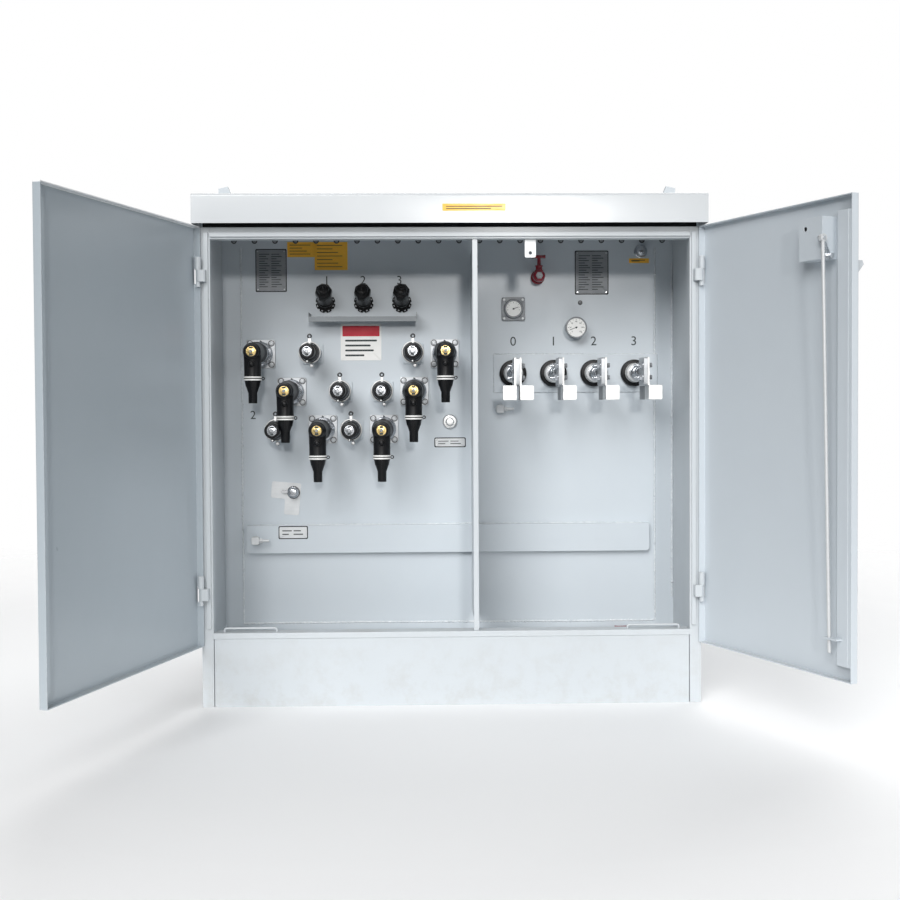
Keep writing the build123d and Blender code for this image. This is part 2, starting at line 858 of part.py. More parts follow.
rod_top = Vector(rod_x, eye_y, eye_height)
rod_foot = Vector(rod_x, guide_y, rod_bottom)
rod_lean = (rod_top - rod_foot).normalized()
leaf_zero = right_leaf(0)
with BuildPart() as latch_rod:
    with BuildSketch(crank_side(rod_x - rod_eye_thickness / 2)):
        with Locations((eye_y, eye_height)):
            Circle(rod_eye_radius)
            Circle(crank_pin_radius + rod_eye_clearance, mode=Mode.SUBTRACT)
    extrude(amount=rod_eye_thickness)
    shank_start = rod_top - rod_lean * (rod_eye_radius - 2)
    with BuildSketch(Plane(
            origin=leaf_zero.from_local_coords(rod_foot),
            x_dir=leaf_zero.x_dir,
            z_dir=leaf_zero.from_local_coords(rod_foot + rod_lean)
            - leaf_zero.from_local_coords(rod_foot))):
        Circle(rod_radius)
    extrude(amount=(shank_start - rod_foot).length)
save(latch_rod, "latch_rod")

guide_rod = rod_foot + rod_lean * ((rod_guide_height - rod_bottom) / rod_lean.Z)
guide_seat = skin_inner - stiffener_rise
with BuildPart() as rod_guide:
    with BuildSketch(right_leaf(rod_guide_height)):
        with Locations((rod_x - rod_guide_width / 2, guide_seat)):
            Rectangle(rod_guide_length, rod_guide_width, align=(Align.MIN, Align.MAX))
        with Locations((rod_x, guide_rod.Y)):
            Circle(rod_radius + rod_guide_clearance, mode=Mode.SUBTRACT)
    extrude(amount=rod_guide_thickness)
save(rod_guide, "rod_guide")

# Keeper tab under the head beam, in line with the hole in the lock box
keeper_x = hinge_x - lock_box_from_hinge - lock_hole_from_edge
keeper_y = hinge_y - lock_box_face + keeper_clearance
with BuildPart() as keeper_tab:
    with BuildSketch(Plane.XZ.offset(-keeper_y - keeper_thickness)):
        with Locations((keeper_x, opening_top)):
            Rectangle(keeper_width, keeper_drop, align=(Align.CENTER, Align.MAX))
        fillet(vertices().group_by(Axis.Y)[0], radius=keeper_hole_radius)
        with Locations(
                (keeper_x, lock_box_bottom + lock_box_height - lock_hole_from_top)):
            Circle(keeper_hole_radius, mode=Mode.SUBTRACT)
    extrude(amount=keeper_thickness)
save(keeper_tab, "keeper_tab")

# High-voltage side: six bushing wells on square flanges, and an elbow on each
hv_spots = [
    (hv_middle_x + column * hv_column_step, hv_top_row - (3 - abs(column)) * hv_row_step)
    for column in hv_columns]
insert_start = hv_flange_thickness + hv_collar_length
with BuildPart() as hv_bushings:
    with BuildSketch(wall_plane()):
        with Locations(*hv_spots):
            RectangleRounded(hv_flange_size, hv_flange_size, hv_flange_thickness)
    extrude(amount=hv_flange_thickness)
    with BuildSketch(wall_plane(hv_flange_thickness)):
        with Locations(*hv_spots):
            Circle(hv_collar_radius)
    extrude(amount=hv_collar_length, taper=8)
    with BuildSketch(wall_plane(insert_start)):
        with Locations(*hv_spots):
            Circle(hv_insert_radius)
    extrude(amount=hv_insert_length)
    with BuildSketch(wall_plane(insert_start + hv_insert_ring_start)):
        with Locations(*hv_spots):
            Circle(hv_insert_radius + hv_insert_ring_rise)
    extrude(amount=hv_insert_ring_length)
save(hv_bushings, "hv_bushings")

# Elbows: each a barrel over the insert and a leg that hangs from it, both turned profiles
cuff_start = insert_start + hv_insert_length
cuff_end = cuff_start + elbow_cuff_length
leg_out = elbow_front - elbow_leg_setback
band_end = elbow_leg_drop + elbow_band_height
cone_middle = band_end + elbow_cone_height / 2
cone_end = band_end + elbow_cone_height
cone_waist = (elbow_leg_radius + elbow_tube_radius) / 2
with BuildPart() as hv_elbows:
    for spot_x, spot_z in hv_spots:
        with BuildSketch(section_plane(spot_x, spot_z)):
            with BuildLine():
                Polyline(
                    (cuff_start, 0), (cuff_start, elbow_cuff_radius),
                    (cuff_end, elbow_cuff_radius),
                    (cuff_end + elbow_cuff_step, elbow_barrel_radius),
                    (elbow_front, elbow_barrel_radius), (elbow_front, 0), close=True)
            make_face()
            chamfer(
                vertices().group_by(Axis.X)[-1].sort_by(Axis.Y)[-1],
                length=elbow_front_bevel)
        revolve(axis=Axis((spot_x, wall_y, spot_z), (0, -1, 0)))
        with BuildSketch(wall_plane(elbow_front)):
            with Locations((spot_x, spot_z)):
                RegularPolygon(elbow_cap_radius, 12)
        extrude(amount=elbow_cap_length)
        with BuildSketch(Plane(
                origin=(spot_x, wall_y - leg_out, spot_z), x_dir=(0, 0, -1), z_dir=(1, 0, 0))):
            with BuildLine():
                CenterArc((0, 0), elbow_leg_radius, 90, 90)
                Polyline(
                    (-elbow_leg_radius, 0), (cone_end + elbow_tube_length, 0),
                    (cone_end + elbow_tube_length, elbow_tube_radius),
                    (cone_end, elbow_tube_radius),
                    (cone_middle, cone_waist - elbow_cone_step), (cone_middle, cone_waist),
                    (band_end, elbow_leg_radius - elbow_band_rise),
                    (band_end, elbow_leg_radius + elbow_band_rise),
                    (elbow_leg_drop, elbow_leg_radius + elbow_band_rise),
                    (elbow_leg_drop, elbow_leg_radius), (0, elbow_leg_radius))
            make_face()
        revolve(axis=Axis((spot_x, wall_y - leg_out, spot_z), (0, 0, -1)))
        with BuildSketch(wall_plane(leg_out)):
            with Locations((spot_x, spot_z - test_point_drop)):
                Circle(test_point_radius)
        extrude(amount=elbow_leg_radius + test_point_reach, taper=3)
        eye_place = (
            spot_x + elbow_leg_radius + pull_eye_setback,
            spot_z - elbow_leg_drop - elbow_band_height / 2)
        with BuildSketch(wall_plane(leg_out - pull_eye_thickness / 2)):
            with Locations(eye_place):
                Circle(pull_eye_radius)
        extrude(amount=pull_eye_thickness)
        with BuildSketch(wall_plane(leg_out - pull_eye_thickness / 2)):
            with Locations(eye_place):
                with Locations((pull_eye_setback, 0)):
                    Circle(pull_eye_hole_radius)
        extrude(amount=pull_eye_thickness, mode=Mode.SUBTRACT)
save(hv_elbows, "hv_elbows")

# Parking bushings with insulating caps and a pulling eye on each
parking_spots = [
    (hv_middle_x + column * hv_column_step, hv_top_row - row * hv_row_step)
    for column, row in parking_place_ratios]
with BuildPart() as parking_bushings:
    with BuildSketch(wall_plane()):
        with Locations(*parking_spots):
            RectangleRounded(parking_plate_size, parking_plate_size, parking_plate_thickness)
    extrude(amount=parking_plate_thickness)
    for spot_x, spot_z in parking_spots:
        length = parking_front - parking_plate_thickness
        with BuildSketch(section_plane(spot_x, spot_z, parking_plate_thickness)):
            with BuildLine():
                Polyline(
                    (0, 0), (0, parking_foot_radius), (length * 0.2, parking_foot_radius),
                    (length * 0.32, parking_body_radius), (length * 0.55, parking_body_radius),
                    (length * 0.57, parking_band_radius), (length * 0.76, parking_band_radius),
                    (length * 0.79, parking_body_radius * 0.93),
                    (length - parking_cap_length, parking_body_radius * 0.93),
                    (length - parking_cap_length, parking_cap_radius),
                    (length, parking_cap_radius), (length, 0), close=True)
            make_face()
            chamfer(
                vertices().group_by(Axis.X)[-1].sort_by(Axis.Y)[-1],
                length=parking_cap_radius * 0.1)
        revolve(axis=Axis((spot_x, wall_y, spot_z), (0, -1, 0)))
        strap_rise = parking_lug_rise - parking_eye_radius
        with BuildSketch(wall_plane(parking_plate_thickness + length * 0.64)):
            with Locations((spot_x, spot_z + strap_rise)):
                Circle(parking_eye_radius)
            with Locations((spot_x, spot_z)):
                Rectangle(
                    parking_strap_width, strap_rise, align=(Align.CENTER, Align.MIN))
            with Locations((spot_x, spot_z + strap_rise)):
                Circle(parking_eye_hole_radius, mode=Mode.SUBTRACT)
        extrude(amount=parking_strap_thickness)
save(parking_bushings, "parking_bushings")

# Fuse holders lean up out of a notched ring on the wall, each with its screw cap
fuse_cap_start = fuse_body_length - fuse_cap_overlap
with BuildPart() as fuse_holders:
    for step in (-1, 0, 1):
        spot = Vector(fuse_middle_x + step * fuse_pitch, wall_y, fuse_height)
        lean = Vector(0, -cos(radians(fuse_tilt)), sin(radians(fuse_tilt)))
        with BuildSketch(wall_plane()):
            with Locations((spot.X, spot.Z)):
                Circle(fuse_ring_radius)
        extrude(amount=fuse_ring_length)
        with BuildSketch(wall_plane(fuse_ring_length / 3)):
            with Locations((spot.X, spot.Z)):
                with PolarLocations(fuse_ring_radius, fuse_ring_notches):
                    Rectangle(2 * fuse_ring_notch_depth, fuse_ring_notch_width)
        extrude(amount=fuse_ring_length, mode=Mode.SUBTRACT)
        with BuildSketch(Plane(origin=spot, x_dir=lean, z_dir=(1, 0, 0))):
            with BuildLine():
                Polyline(
                    (fuse_body_start, 0), (fuse_body_start, fuse_body_radius),
                    (fuse_cap_start * 0.4, fuse_waist_radius),
                    (fuse_cap_start * 0.8, fuse_waist_radius),
                    (fuse_cap_start * 0.85, fuse_body_radius),
                    (fuse_body_start + fuse_body_length, fuse_body_radius),
                    (fuse_body_start + fuse_body_length, 0), close=True)
            make_face()
        revolve(axis=Axis(spot, lean))
        with BuildSketch(Plane(origin=spot + lean * fuse_cap_start, z_dir=lean)):
            RegularPolygon(fuse_cap_radius, 8)
        extrude(amount=fuse_cap_length)
        with BuildSketch(Plane(
                origin=spot + lean * (fuse_cap_start + fuse_cap_length), z_dir=lean)):
            Circle(fuse_cap_radius * 0.6)
        extrude(amount=fuse_cap_crown, taper=10)
save(fuse_holders, "fuse_holders")

with BuildPart() as drip_shield:
    with BuildSketch(Plane.YZ.offset(fuse_middle_x - drip_shield_width / 2)):
        with BuildLine():
            Polyline(
                (wall_y, drip_shield_top),
                (wall_y - drip_shield_reach, drip_shield_top),
                (wall_y - drip_shield_reach, drip_shield_top - drip_shield_lip),
                (wall_y - drip_shield_reach + drip_shield_sheet,
                 drip_shield_top - drip_shield_lip),
                (wall_y - drip_shield_reach + drip_shield_sheet,
                 drip_shield_top - drip_shield_sheet),
                (wall_y, drip_shield_top - drip_shield_sheet),
                close=True)
        make_face()
    extrude(amount=drip_shield_width)
    with BuildSketch(Plane.XY.offset(drip_shield_top)):
        for end in (-1, 1):
            with Locations(
                    (fuse_middle_x + end * (drip_shield_width - drip_shield_sheet) / 2,
                     wall_y)):
                Rectangle(
                    drip_shield_sheet, drip_shield_reach, align=(Align.CENTER, Align.MAX))
    extrude(amount=drip_shield_tab)
save(drip_shield, "drip_shield")

# Low-voltage side: welded plate, four bushings, their spades and the terminal plates
lv_spots = [(lv_first_x + step * lv_pitch, lv_height) for step in range(4)]
lv_plate_left = lv_first_x - lv_plate_from_first
with BuildPart() as lv_plate:
    with BuildSketch(wall_plane()):
        with Locations((lv_plate_left + lv_plate_width / 2, lv_height)):
            RectangleRounded(lv_plate_width, lv_plate_height, lv_plate_thickness)
    extrude(amount=lv_plate_thickness)
save(lv_plate, "lv_plate")

with BuildPart() as lv_bushings:
    with BuildSketch(wall_plane(lv_plate_thickness)):
        with Locations(*lv_spots):
            Circle(lv_disc_radius)
    extrude(amount=lv_disc_length)
    fillet(
        lv_bushings.edges().filter_by(GeomType.CIRCLE).group_by(Axis.Y)[0],
        radius=lv_disc_rounding)
    with BuildSketch(wall_plane(lv_plate_thickness + lv_disc_length)):
        with Locations(*lv_spots):
            Circle(lv_body_radius)
    extrude(amount=lv_body_length, taper=2)
save(lv_bushings, "lv_bushings")

hub_start = lv_plate_thickness + lv_disc_length + lv_body_length
spade_start = hub_start + lv_hub_length
spade_holes_y = (
    wall_y - spade_start - spade_length + spade_hole_from_front + spade_hole_pitch / 2)
with BuildPart() as lv_spades:
    with BuildSketch(wall_plane(hub_start)):
        with Locations(*lv_spots):
            Circle(lv_ball_radius)
    extrude(amount=lv_ball_reach, taper=15)
    with BuildSketch(wall_plane(hub_start)):
        with Locations(*lv_spots):
            Circle(lv_hub_radius)
    extrude(amount=lv_hub_length)
    with BuildSketch(wall_plane(spade_start)):
        with Locations(*lv_spots):
            Rectangle(spade_thickness, spade_height)
    extrude(amount=spade_length)
    fillet(
        lv_spades.edges().filter_by(Axis.X).group_by(Axis.Y)[0],
        radius=spade_corner_radius)
    for spot_x, spot_z in lv_spots:
        with BuildSketch(Plane.YZ.offset(spot_x - spade_thickness / 2)):
            with Locations((spade_holes_y, spot_z)):
                with GridLocations(spade_hole_pitch, spade_hole_pitch, 2, 2):
                    Circle(spade_hole_radius)
        extrude(amount=spade_thickness, mode=Mode.SUBTRACT)
save(lv_spades, "lv_spades")

terminal_front = spade_start + spade_length + terminal_front_reach
with BuildPart() as lv_terminal_plates:
    for number, (spot_x, spot_z) in enumerate(lv_spots):
        for side in ((-1, 1) if number == 0 else (1,)):
            face_x = spot_x + side * spade_thickness / 2
            plate_top = spot_z + spade_height / 2
            plate_bottom = spot_z - spade_height / 2 - terminal_tab_height
            with BuildSketch(Plane.YZ.offset(min(face_x, face_x + side * terminal_thickness))):
                with BuildLine():
                    Polyline(
                        (wall_y - spade_start - spade_length * 0.15, plate_top),
                        (wall_y - spade_start - spade_length, plate_top),
                        (wall_y - spade_start - spade_length, spot_z - spade_height / 2),
                        (wall_y - terminal_front, spot_z - spade_height / 2),
                        (wall_y - terminal_front, plate_bottom),
                        (wall_y - spade_start - spade_length * 0.45, plate_bottom),
                        (wall_y - spade_start - spade_length * 0.45,
                         spot_z - spade_height / 2),
                        (wall_y - spade_start - spade_length * 0.15,
                         spot_z - spade_height / 2),
                        close=True)
                make_face()
                with Locations((spade_holes_y, spot_z)):
                    with GridLocations(spade_hole_pitch, spade_hole_pitch, 2, 2):
                        Circle(spade_hole_radius, mode=Mode.SUBTRACT)
            extrude(amount=terminal_thickness)
            with BuildSketch(wall_plane(terminal_front - terminal_thickness)):
                with Locations((face_x, plate_bottom)):
                    Rectangle(
                        terminal_tab_width, terminal_tab_height,
                        align=(Align.MAX if side < 0 else Align.MIN, Align.MIN))
                fillet(
                    vertices().sort_by(Axis.X, reverse=side < 0)[-2:],
                    radius=terminal_corner_radius)
            extrude(amount=terminal_thickness)
save(lv_terminal_plates, "lv_terminal_plates")

# Gauges
with BuildPart() as level_gauge:
    with BuildSketch(wall_plane()):
        with Locations((level_gauge_x, level_gauge_height)):
            RectangleRounded(
                level_gauge_size, level_gauge_size, level_gauge_corner_radius)
    extrude(amount=level_gauge_thickness)
    with BuildSketch(wall_plane(level_gauge_thickness)):
        with Locations((level_gauge_x, level_gauge_height)):
            Circle(level_gauge_dial_radius)
    extrude(amount=level_gauge_dial_length)
    with BuildSketch(wall_plane(level_gauge_thickness + level_gauge_dial_length)):
        with Locations((level_gauge_x, level_gauge_height)):
            Circle(level_gauge_dial_radius - level_gauge_bezel)
    extrude(amount=-level_gauge_bezel, mode=Mode.SUBTRACT)
save(level_gauge, "level_gauge")

with BuildPart() as temperature_gauge:
    with BuildSketch(wall_plane()):
        with Locations((temp_gauge_x, temp_gauge_height)):
            Circle(temp_gauge_neck_radius)
    extrude(amount=temp_gauge_neck_length)
    with BuildSketch(wall_plane(temp_gauge_neck_length)):
        with Locations((temp_gauge_x, temp_gauge_height)):
            Circle(temp_gauge_radius)
    extrude(amount=temp_gauge_length)
    chamfer(
        temperature_gauge.faces().filter_by(Axis.Y).sort_by(Axis.Y)[0].edges(),
        length=temp_gauge_bezel * 0.6)
    with BuildSketch(wall_plane(temp_gauge_neck_length + temp_gauge_length)):
        with Locations((temp_gauge_x, temp_gauge_height)):
            Circle(temp_gauge_radius - temp_gauge_bezel)
    extrude(amount=-temp_gauge_bezel * 0.6, mode=Mode.SUBTRACT)
save(temperature_gauge, "temperature_gauge")

with BuildPart() as relief_valve:
    with BuildSketch(wall_plane()):
        with Locations((relief_valve_x, relief_valve_height)):
            Circle(relief_valve_radius)
    extrude(amount=relief_valve_length)
    fillet(
        relief_valve.faces().filter_by(Axis.Y).sort_by(Axis.Y)[0].edges(),
        radius=relief_valve_radius * 0.7)
save(relief_valve, "relief_valve")


# Globe valve: wall flange, nipple, round body with a hex plug in front, bonnet on top
def valve_body(spot_x, spot_z):
    out = valve_nipple_length
    with BuildPart() as valve:
        with BuildSketch(wall_plane()):
            with Locations((spot_x, spot_z)):
                Circle(valve_flange_radius)
        extrude(amount=valve_flange_thickness)
        with BuildSketch(wall_plane(valve_flange_thickness)):
            with Locations((spot_x, spot_z)):
                Circle(valve_nipple_radius)
        extrude(amount=out)
        with Locations((spot_x, wall_y - out - valve_body_radius * 0.8, spot_z)):
            Sphere(valve_body_radius)
        with BuildSketch(wall_plane(out + valve_body_radius)):
            with Locations((spot_x, spot_z)):
                RegularPolygon(valve_plug_radius, 6)
        extrude(amount=valve_plug_length)
        bonnet_y = wall_y - out - valve_body_radius * 0.8
        with BuildSketch(Plane(
                origin=(spot_x, bonnet_y, spot_z), x_dir=(0, 0, 1), z_dir=(1, 0, 0))):
            with BuildLine():
                Polyline(
                    (0, 0), (0, valve_bonnet_foot_radius),
                    (valve_bonnet_waist, valve_bonnet_radius * 0.8),
                    (valve_bonnet_waist, valve_bonnet_radius),
                    (valve_bonnet_height, valve_bonnet_radius), (valve_bonnet_height, 0),
                    close=True)
            make_face()
        revolve(axis=Axis((spot_x, bonnet_y, spot_z), (0, 0, 1)))
    return valve


def valve_handle(spot_x, spot_z):
    middle_y = wall_y - valve_nipple_length - valve_body_radius * 0.8
    stem_bottom = spot_z + valve_bonnet_height + valve_clearance
    with BuildPart() as handle:
        with BuildSketch(Plane(origin=(spot_x, middle_y, stem_bottom))):
            Circle(valve_stem_radius)
        extrude(amount=valve_stem_length)
        with BuildSketch(Plane.YZ.offset(spot_x - valve_handle_length / 2)):
            with Locations((middle_y, stem_bottom + valve_stem_length)):
                Circle(valve_handle_radius)
        extrude(amount=valve_handle_length)
    return handle


save(valve_body(fill_valve_x, fill_valve_height), "fill_valve")
save(valve_handle(fill_valve_x, fill_valve_height), "fill_valve_handle")
save(valve_body(drain_valve_x, drain_valve_height), "drain_valve")
save(valve_handle(drain_valve_x, drain_valve_height), "drain_valve_handle")

# Tap changer: an L-shaped plate with a boss, and the pointer knob that turns on it
tap_frame = Plane(
    origin=(tap_x, wall_y, tap_height),
    x_dir=(cos(radians(tap_plate_tilt)), 0, -sin(radians(tap_plate_tilt))), z_dir=(0, -1, 0))
with BuildPart() as tap_plate:
    with BuildSketch(tap_frame):
        with BuildLine():
            Polyline(
                (-tap_arm_left, tap_arm_top), (tap_arm_right, tap_arm_top),
                (tap_arm_right, -tap_leg_bottom), (tap_arm_right - tap_leg_width,
                                                   -tap_leg_bottom),
                (tap_arm_right - tap_leg_width, -tap_arm_bottom),
                (-tap_arm_left, -tap_arm_bottom), close=True)
        make_face()
        fillet(vertices(), radius=tap_plate_corner_radius)
    extrude(amount=tap_plate_thickness)
    with BuildSketch(tap_frame.offset(tap_plate_thickness)):
        Circle(tap_boss_radius)
    extrude(amount=tap_boss_length)
save(tap_plate, "tap_plate")

with BuildPart() as tap_knob:
    knob_start = tap_plate_thickness + tap_boss_length + tap_clearance
    with BuildSketch(tap_frame.offset(knob_start)):
        Circle(tap_knob_radius)
        with Locations((-tap_pointer_reach, 0)):
            Rectangle(
                tap_pointer_reach, tap_pointer_width, align=(Align.MIN, Align.CENTER))
    extrude(amount=tap_skirt_thickness)
    with BuildSketch(tap_frame.offset(knob_start + tap_skirt_thickness)):
        Circle(tap_knob_radius * 0.8)
    extrude(amount=tap_knob_length - tap_skirt_thickness, taper=4)
save(tap_knob, "tap_knob")

with BuildPart() as selector_knob:
    with BuildSketch(wall_plane()):
        with Locations((selector_x, selector_height)):
            Circle(selector_collar_radius)
    extrude(amount=selector_collar_length)
    with BuildSketch(wall_plane(selector_collar_length)):
        with Locations((selector_x, selector_height)):
            RegularPolygon(selector_cap_radius, 8)
    extrude(amount=selector_cap_length, taper=6)
save(selector_knob, "selector_knob")

# Long bar across both compartments, a folded channel with rounded lower corners
with BuildPart() as channel_bar:
    with BuildSketch(wall_plane()):
        with Locations(((bar_left + bar_right) / 2, bar_bottom)):
            Rectangle(bar_right - bar_left, bar_height, align=(Align.CENTER, Align.MIN))
        fillet(vertices().group_by(Axis.Y)[0], radius=bar_corner_radius)
    extrude(amount=bar_depth)
    offset(
        amount=-bar_sheet,
        openings=channel_bar.faces().filter_by(Axis.Y).sort_by(Axis.Y)[-1])
save(channel_bar, "channel_bar")


# Ground connectors: a boss, a clamp block and a stud pointing along the wall on each
bar_ground = (bar_left + hv_ground_from_bar_end, bar_bottom + bar_height - hv_ground_drop)
with BuildPart() as ground_connectors:
    for (spot_x, spot_z), out in (((lv_ground_x, lv_ground_height), 0), (bar_ground, bar_depth)):
        with BuildSketch(wall_plane(out)):
            with Locations((spot_x, spot_z)):
                Circle(ground_boss_radius)
        extrude(amount=ground_boss_length)
        with BuildSketch(wall_plane(out + ground_boss_length)):
            with Locations((spot_x, spot_z)):
                RectangleRounded(
                    2 * ground_boss_radius, 2 * ground_boss_radius, ground_block_corner_radius)
        extrude(amount=ground_boss_radius)
        with BuildSketch(Plane.YZ.offset(spot_x)):
            with Locations(
                    (wall_y - out - ground_boss_length - ground_boss_radius / 2, spot_z)):
                Circle(ground_stud_radius)
        extrude(amount=ground_stud_reach)
save(ground_connectors, "ground_connectors")
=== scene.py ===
import json
import math

import bmesh
import bpy
import numpy as np
from mathutils import Matrix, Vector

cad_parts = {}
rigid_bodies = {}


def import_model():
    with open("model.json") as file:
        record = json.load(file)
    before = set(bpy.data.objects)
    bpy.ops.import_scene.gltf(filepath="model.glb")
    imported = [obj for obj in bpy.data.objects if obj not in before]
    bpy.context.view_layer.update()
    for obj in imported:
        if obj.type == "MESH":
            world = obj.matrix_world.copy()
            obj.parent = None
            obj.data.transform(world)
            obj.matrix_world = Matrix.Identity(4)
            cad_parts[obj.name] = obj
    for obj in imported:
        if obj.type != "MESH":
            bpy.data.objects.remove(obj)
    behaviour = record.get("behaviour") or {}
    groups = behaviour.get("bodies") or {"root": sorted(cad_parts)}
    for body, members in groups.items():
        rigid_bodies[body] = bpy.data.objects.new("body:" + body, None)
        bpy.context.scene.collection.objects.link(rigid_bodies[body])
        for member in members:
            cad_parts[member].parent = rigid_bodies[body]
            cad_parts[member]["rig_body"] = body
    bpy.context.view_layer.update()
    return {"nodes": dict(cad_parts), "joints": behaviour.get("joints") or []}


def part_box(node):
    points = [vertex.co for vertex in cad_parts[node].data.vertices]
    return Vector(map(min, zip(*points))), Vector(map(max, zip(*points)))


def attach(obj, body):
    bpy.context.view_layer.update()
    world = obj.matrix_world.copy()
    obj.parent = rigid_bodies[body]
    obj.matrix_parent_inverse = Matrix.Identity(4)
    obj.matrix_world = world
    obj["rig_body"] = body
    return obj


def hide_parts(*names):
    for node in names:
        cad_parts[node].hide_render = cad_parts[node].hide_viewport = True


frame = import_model()
print("frame loaded:", len(frame["nodes"]), "nodes")

mm = 0.001
mainBody = "transformer"
outward = (0, -1, 0)     # from the wall to the viewer


def span(node):
    low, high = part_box(node)
    return np.array(low), np.array(high)


def jointPlace(name):
    return np.array(next(j for j in frame["joints"] if j["name"] == name)["pos_m"])


def stand(name, data):
    thing = bpy.data.objects.new(name, data)
    bpy.context.scene.collection.objects.link(thing)
    return thing


# Camera: stands in front of the open doors, a little to the left
cameraView = {
    "place": (-0.083, -5.5167, 1.0521),
    "turnRight": 1.403,
    "tiltDown": 1.534,
    "roll": -0.303,
    "focalPixels": 1306.655,
    "imagePixels": 900,
    "opticalCentre": (460, 440),
    "sensor": 36,
}


def placeCamera():
    v = cameraView
    turn, tilt, roll = (math.radians(v[k]) for k in ("turnRight", "tiltDown", "roll"))
    ahead = np.array([math.sin(turn) * math.cos(tilt), math.cos(turn) * math.cos(tilt), -math.sin(tilt)])
    right = np.array([math.cos(turn), -math.sin(turn), 0])
    up = np.cross(right, ahead)
    rolledRight = right * math.cos(roll) + up * math.sin(roll)
    rolledUp = up * math.cos(roll) - right * math.sin(roll)
    data = bpy.data.cameras.new("camera")
    data.sensor_width = v["sensor"]
    data.lens = v["focalPixels"] / v["imagePixels"] * v["sensor"]
    half = v["imagePixels"] / 2
    data.shift_x = (half - v["opticalCentre"][0]) / v["imagePixels"]
    data.shift_y = (v["opticalCentre"][1] - half) / v["imagePixels"]
    data.clip_end = 100
    matrix = np.eye(4)
    matrix[:3, :3] = np.stack([rolledRight, rolledUp, -ahead], axis=1)
    matrix[:3, 3] = v["place"]
    camera = stand("camera", data)
    camera.matrix_world = Matrix(matrix.tolist())
    bpy.context.scene.camera = camera


placeCamera()


class Nodes:
    # a shader tree with short ways to add nodes; an input takes a value or another node's output
    def __init__(self, tree):
        self.tree = tree

    def link(self, source, target):
        if hasattr(source, "links"):
            self.tree.links.new(source, target)
        else:
            target.default_value = source

    def add(self, kind, inputs=(), **settings):
        node = self.tree.nodes.new("ShaderNode" + kind)
        for label, value in settings.items():
            setattr(node, label, value)
        for label, value in dict(inputs).items():
            self.link(value, node.inputs[label])
        return node.outputs

    def math(self, operation, first, second=0.0, clamp=False):
        return self.add("Math", {0: first, 1: second}, operation=operation, use_clamp=clamp)[0]

    def vector(self, operation, first, second=None):
        inputs = {0: first} if second is None else {0: first, 1: second}
        return self.add("VectorMath", inputs, operation=operation)

    def noise(self, vector, scale, detail=4.0, roughness=0.55):
        inputs = {"Vector": vector, "Scale": scale, "Detail": detail, "Roughness": roughness}
        return self.add("TexNoise", inputs)["Fac"]

    def range(self, value, low, high, newLow=0.0, newHigh=1.0):
        inputs = {"Value": value, "From Min": low, "From Max": high, "To Min": newLow, "To Max": newHigh}
        return self.add("MapRange", inputs)["Result"]

    def mix(self, factor, first, second):
        first, second = (c + (1,) if isinstance(c, tuple) else c for c in (first, second))
        return self.add("Mix", {0: factor, 6: first, 7: second}, data_type="RGBA")[2]

    def height(self, vector):
        return self.add("SeparateXYZ", {0: vector})["Z"]

    def bump(self, height, strength, distance):
        return self.add("Bump", {"Distance": distance, "Strength": strength, "Height": height})[0]

    def group(self, name, vector, **values):
        named = {label.replace("_", " "): value for label, value in values.items()}
        return self.add("Group", {"Vector": vector, **named}, node_tree=groups[name])


# Light: a broad soft key from the front left, weaker fills from the right, above and behind
lighting = {
    # turn right of the front, rise above the floor, spread (degrees), strength, colour
    "lamps": {
        "key": (-20, 27, 32, 2.2, (1, 0.997, 0.993)),
        "lowFront": (4, 9.3, 4, 0.6, (1, 0.985, 0.965)),
        "highFront": (0, 42, 30, 0.45, (1, 1, 1)),
        "rightFill": (60, 20, 40, 0.62, (0.97, 0.985, 1)),
        "ceiling": (0, 88, 60, 0.55, (1, 1, 1)),
        "rear": (165, 38, 50, 1.5, (1, 1, 1)),
    },
    "surround": 0.05,
    "surroundColor": (0.9, 0.95, 1, 1),
}


def lightStudio():
    for name, (turn, rise, spread, strength, color) in lighting["lamps"].items():
        data = bpy.data.lights.new(name + "Lamp", "SUN")
        data.energy, data.angle, data.color = strength, math.radians(spread), color
        stand(name + "Lamp", data).rotation_euler = (math.pi / 2 - math.radians(rise), 0, math.radians(turn))
    world = bpy.data.worlds.new("surround")
    bpy.context.scene.world = world
    world.use_nodes = True
    world.node_tree.nodes.clear()
    n = Nodes(world.node_tree)
    lit = n.add("Background", {"Color": lighting["surroundColor"], "Strength": lighting["surround"]})
    seen = n.add("Background", {"Color": (1, 1, 1, 1)})
    mixed = n.add("MixShader", {0: n.add("LightPath")["Is Camera Ray"], 1: lit[0], 2: seen[0]})
    n.add("OutputWorld", {0: mixed[0]})
    bpy.context.scene.view_settings.view_transform = "Standard"


lightStudio()
print("camera and light placed")


# Shader node groups, each made once and used with its own values
def startGroup(name, outputs, **inputs):
    # a float makes a plain input, None or three numbers a vector; the output Normal is a vector
    tree = bpy.data.node_groups.new(name, "ShaderNodeTree")
    for label, value in {"Vector": None, **inputs}.items():
        kind = "NodeSocketFloat" if isinstance(value, float) else "NodeSocketVector"
        socket = tree.interface.new_socket(label.replace("_", " "), in_out="INPUT", socket_type=kind)
        if value is not None:
            socket.default_value = value
    for label in outputs:
        kind = "NodeSocketVector" if label == "Normal" else "NodeSocketFloat"
        tree.interface.new_socket(label, in_out="OUTPUT", socket_type=kind)
    enter, leave = tree.nodes.new("NodeGroupInput").outputs, tree.nodes.new("NodeGroupOutput").inputs
    return Nodes(tree), enter["Vector"], enter, leave


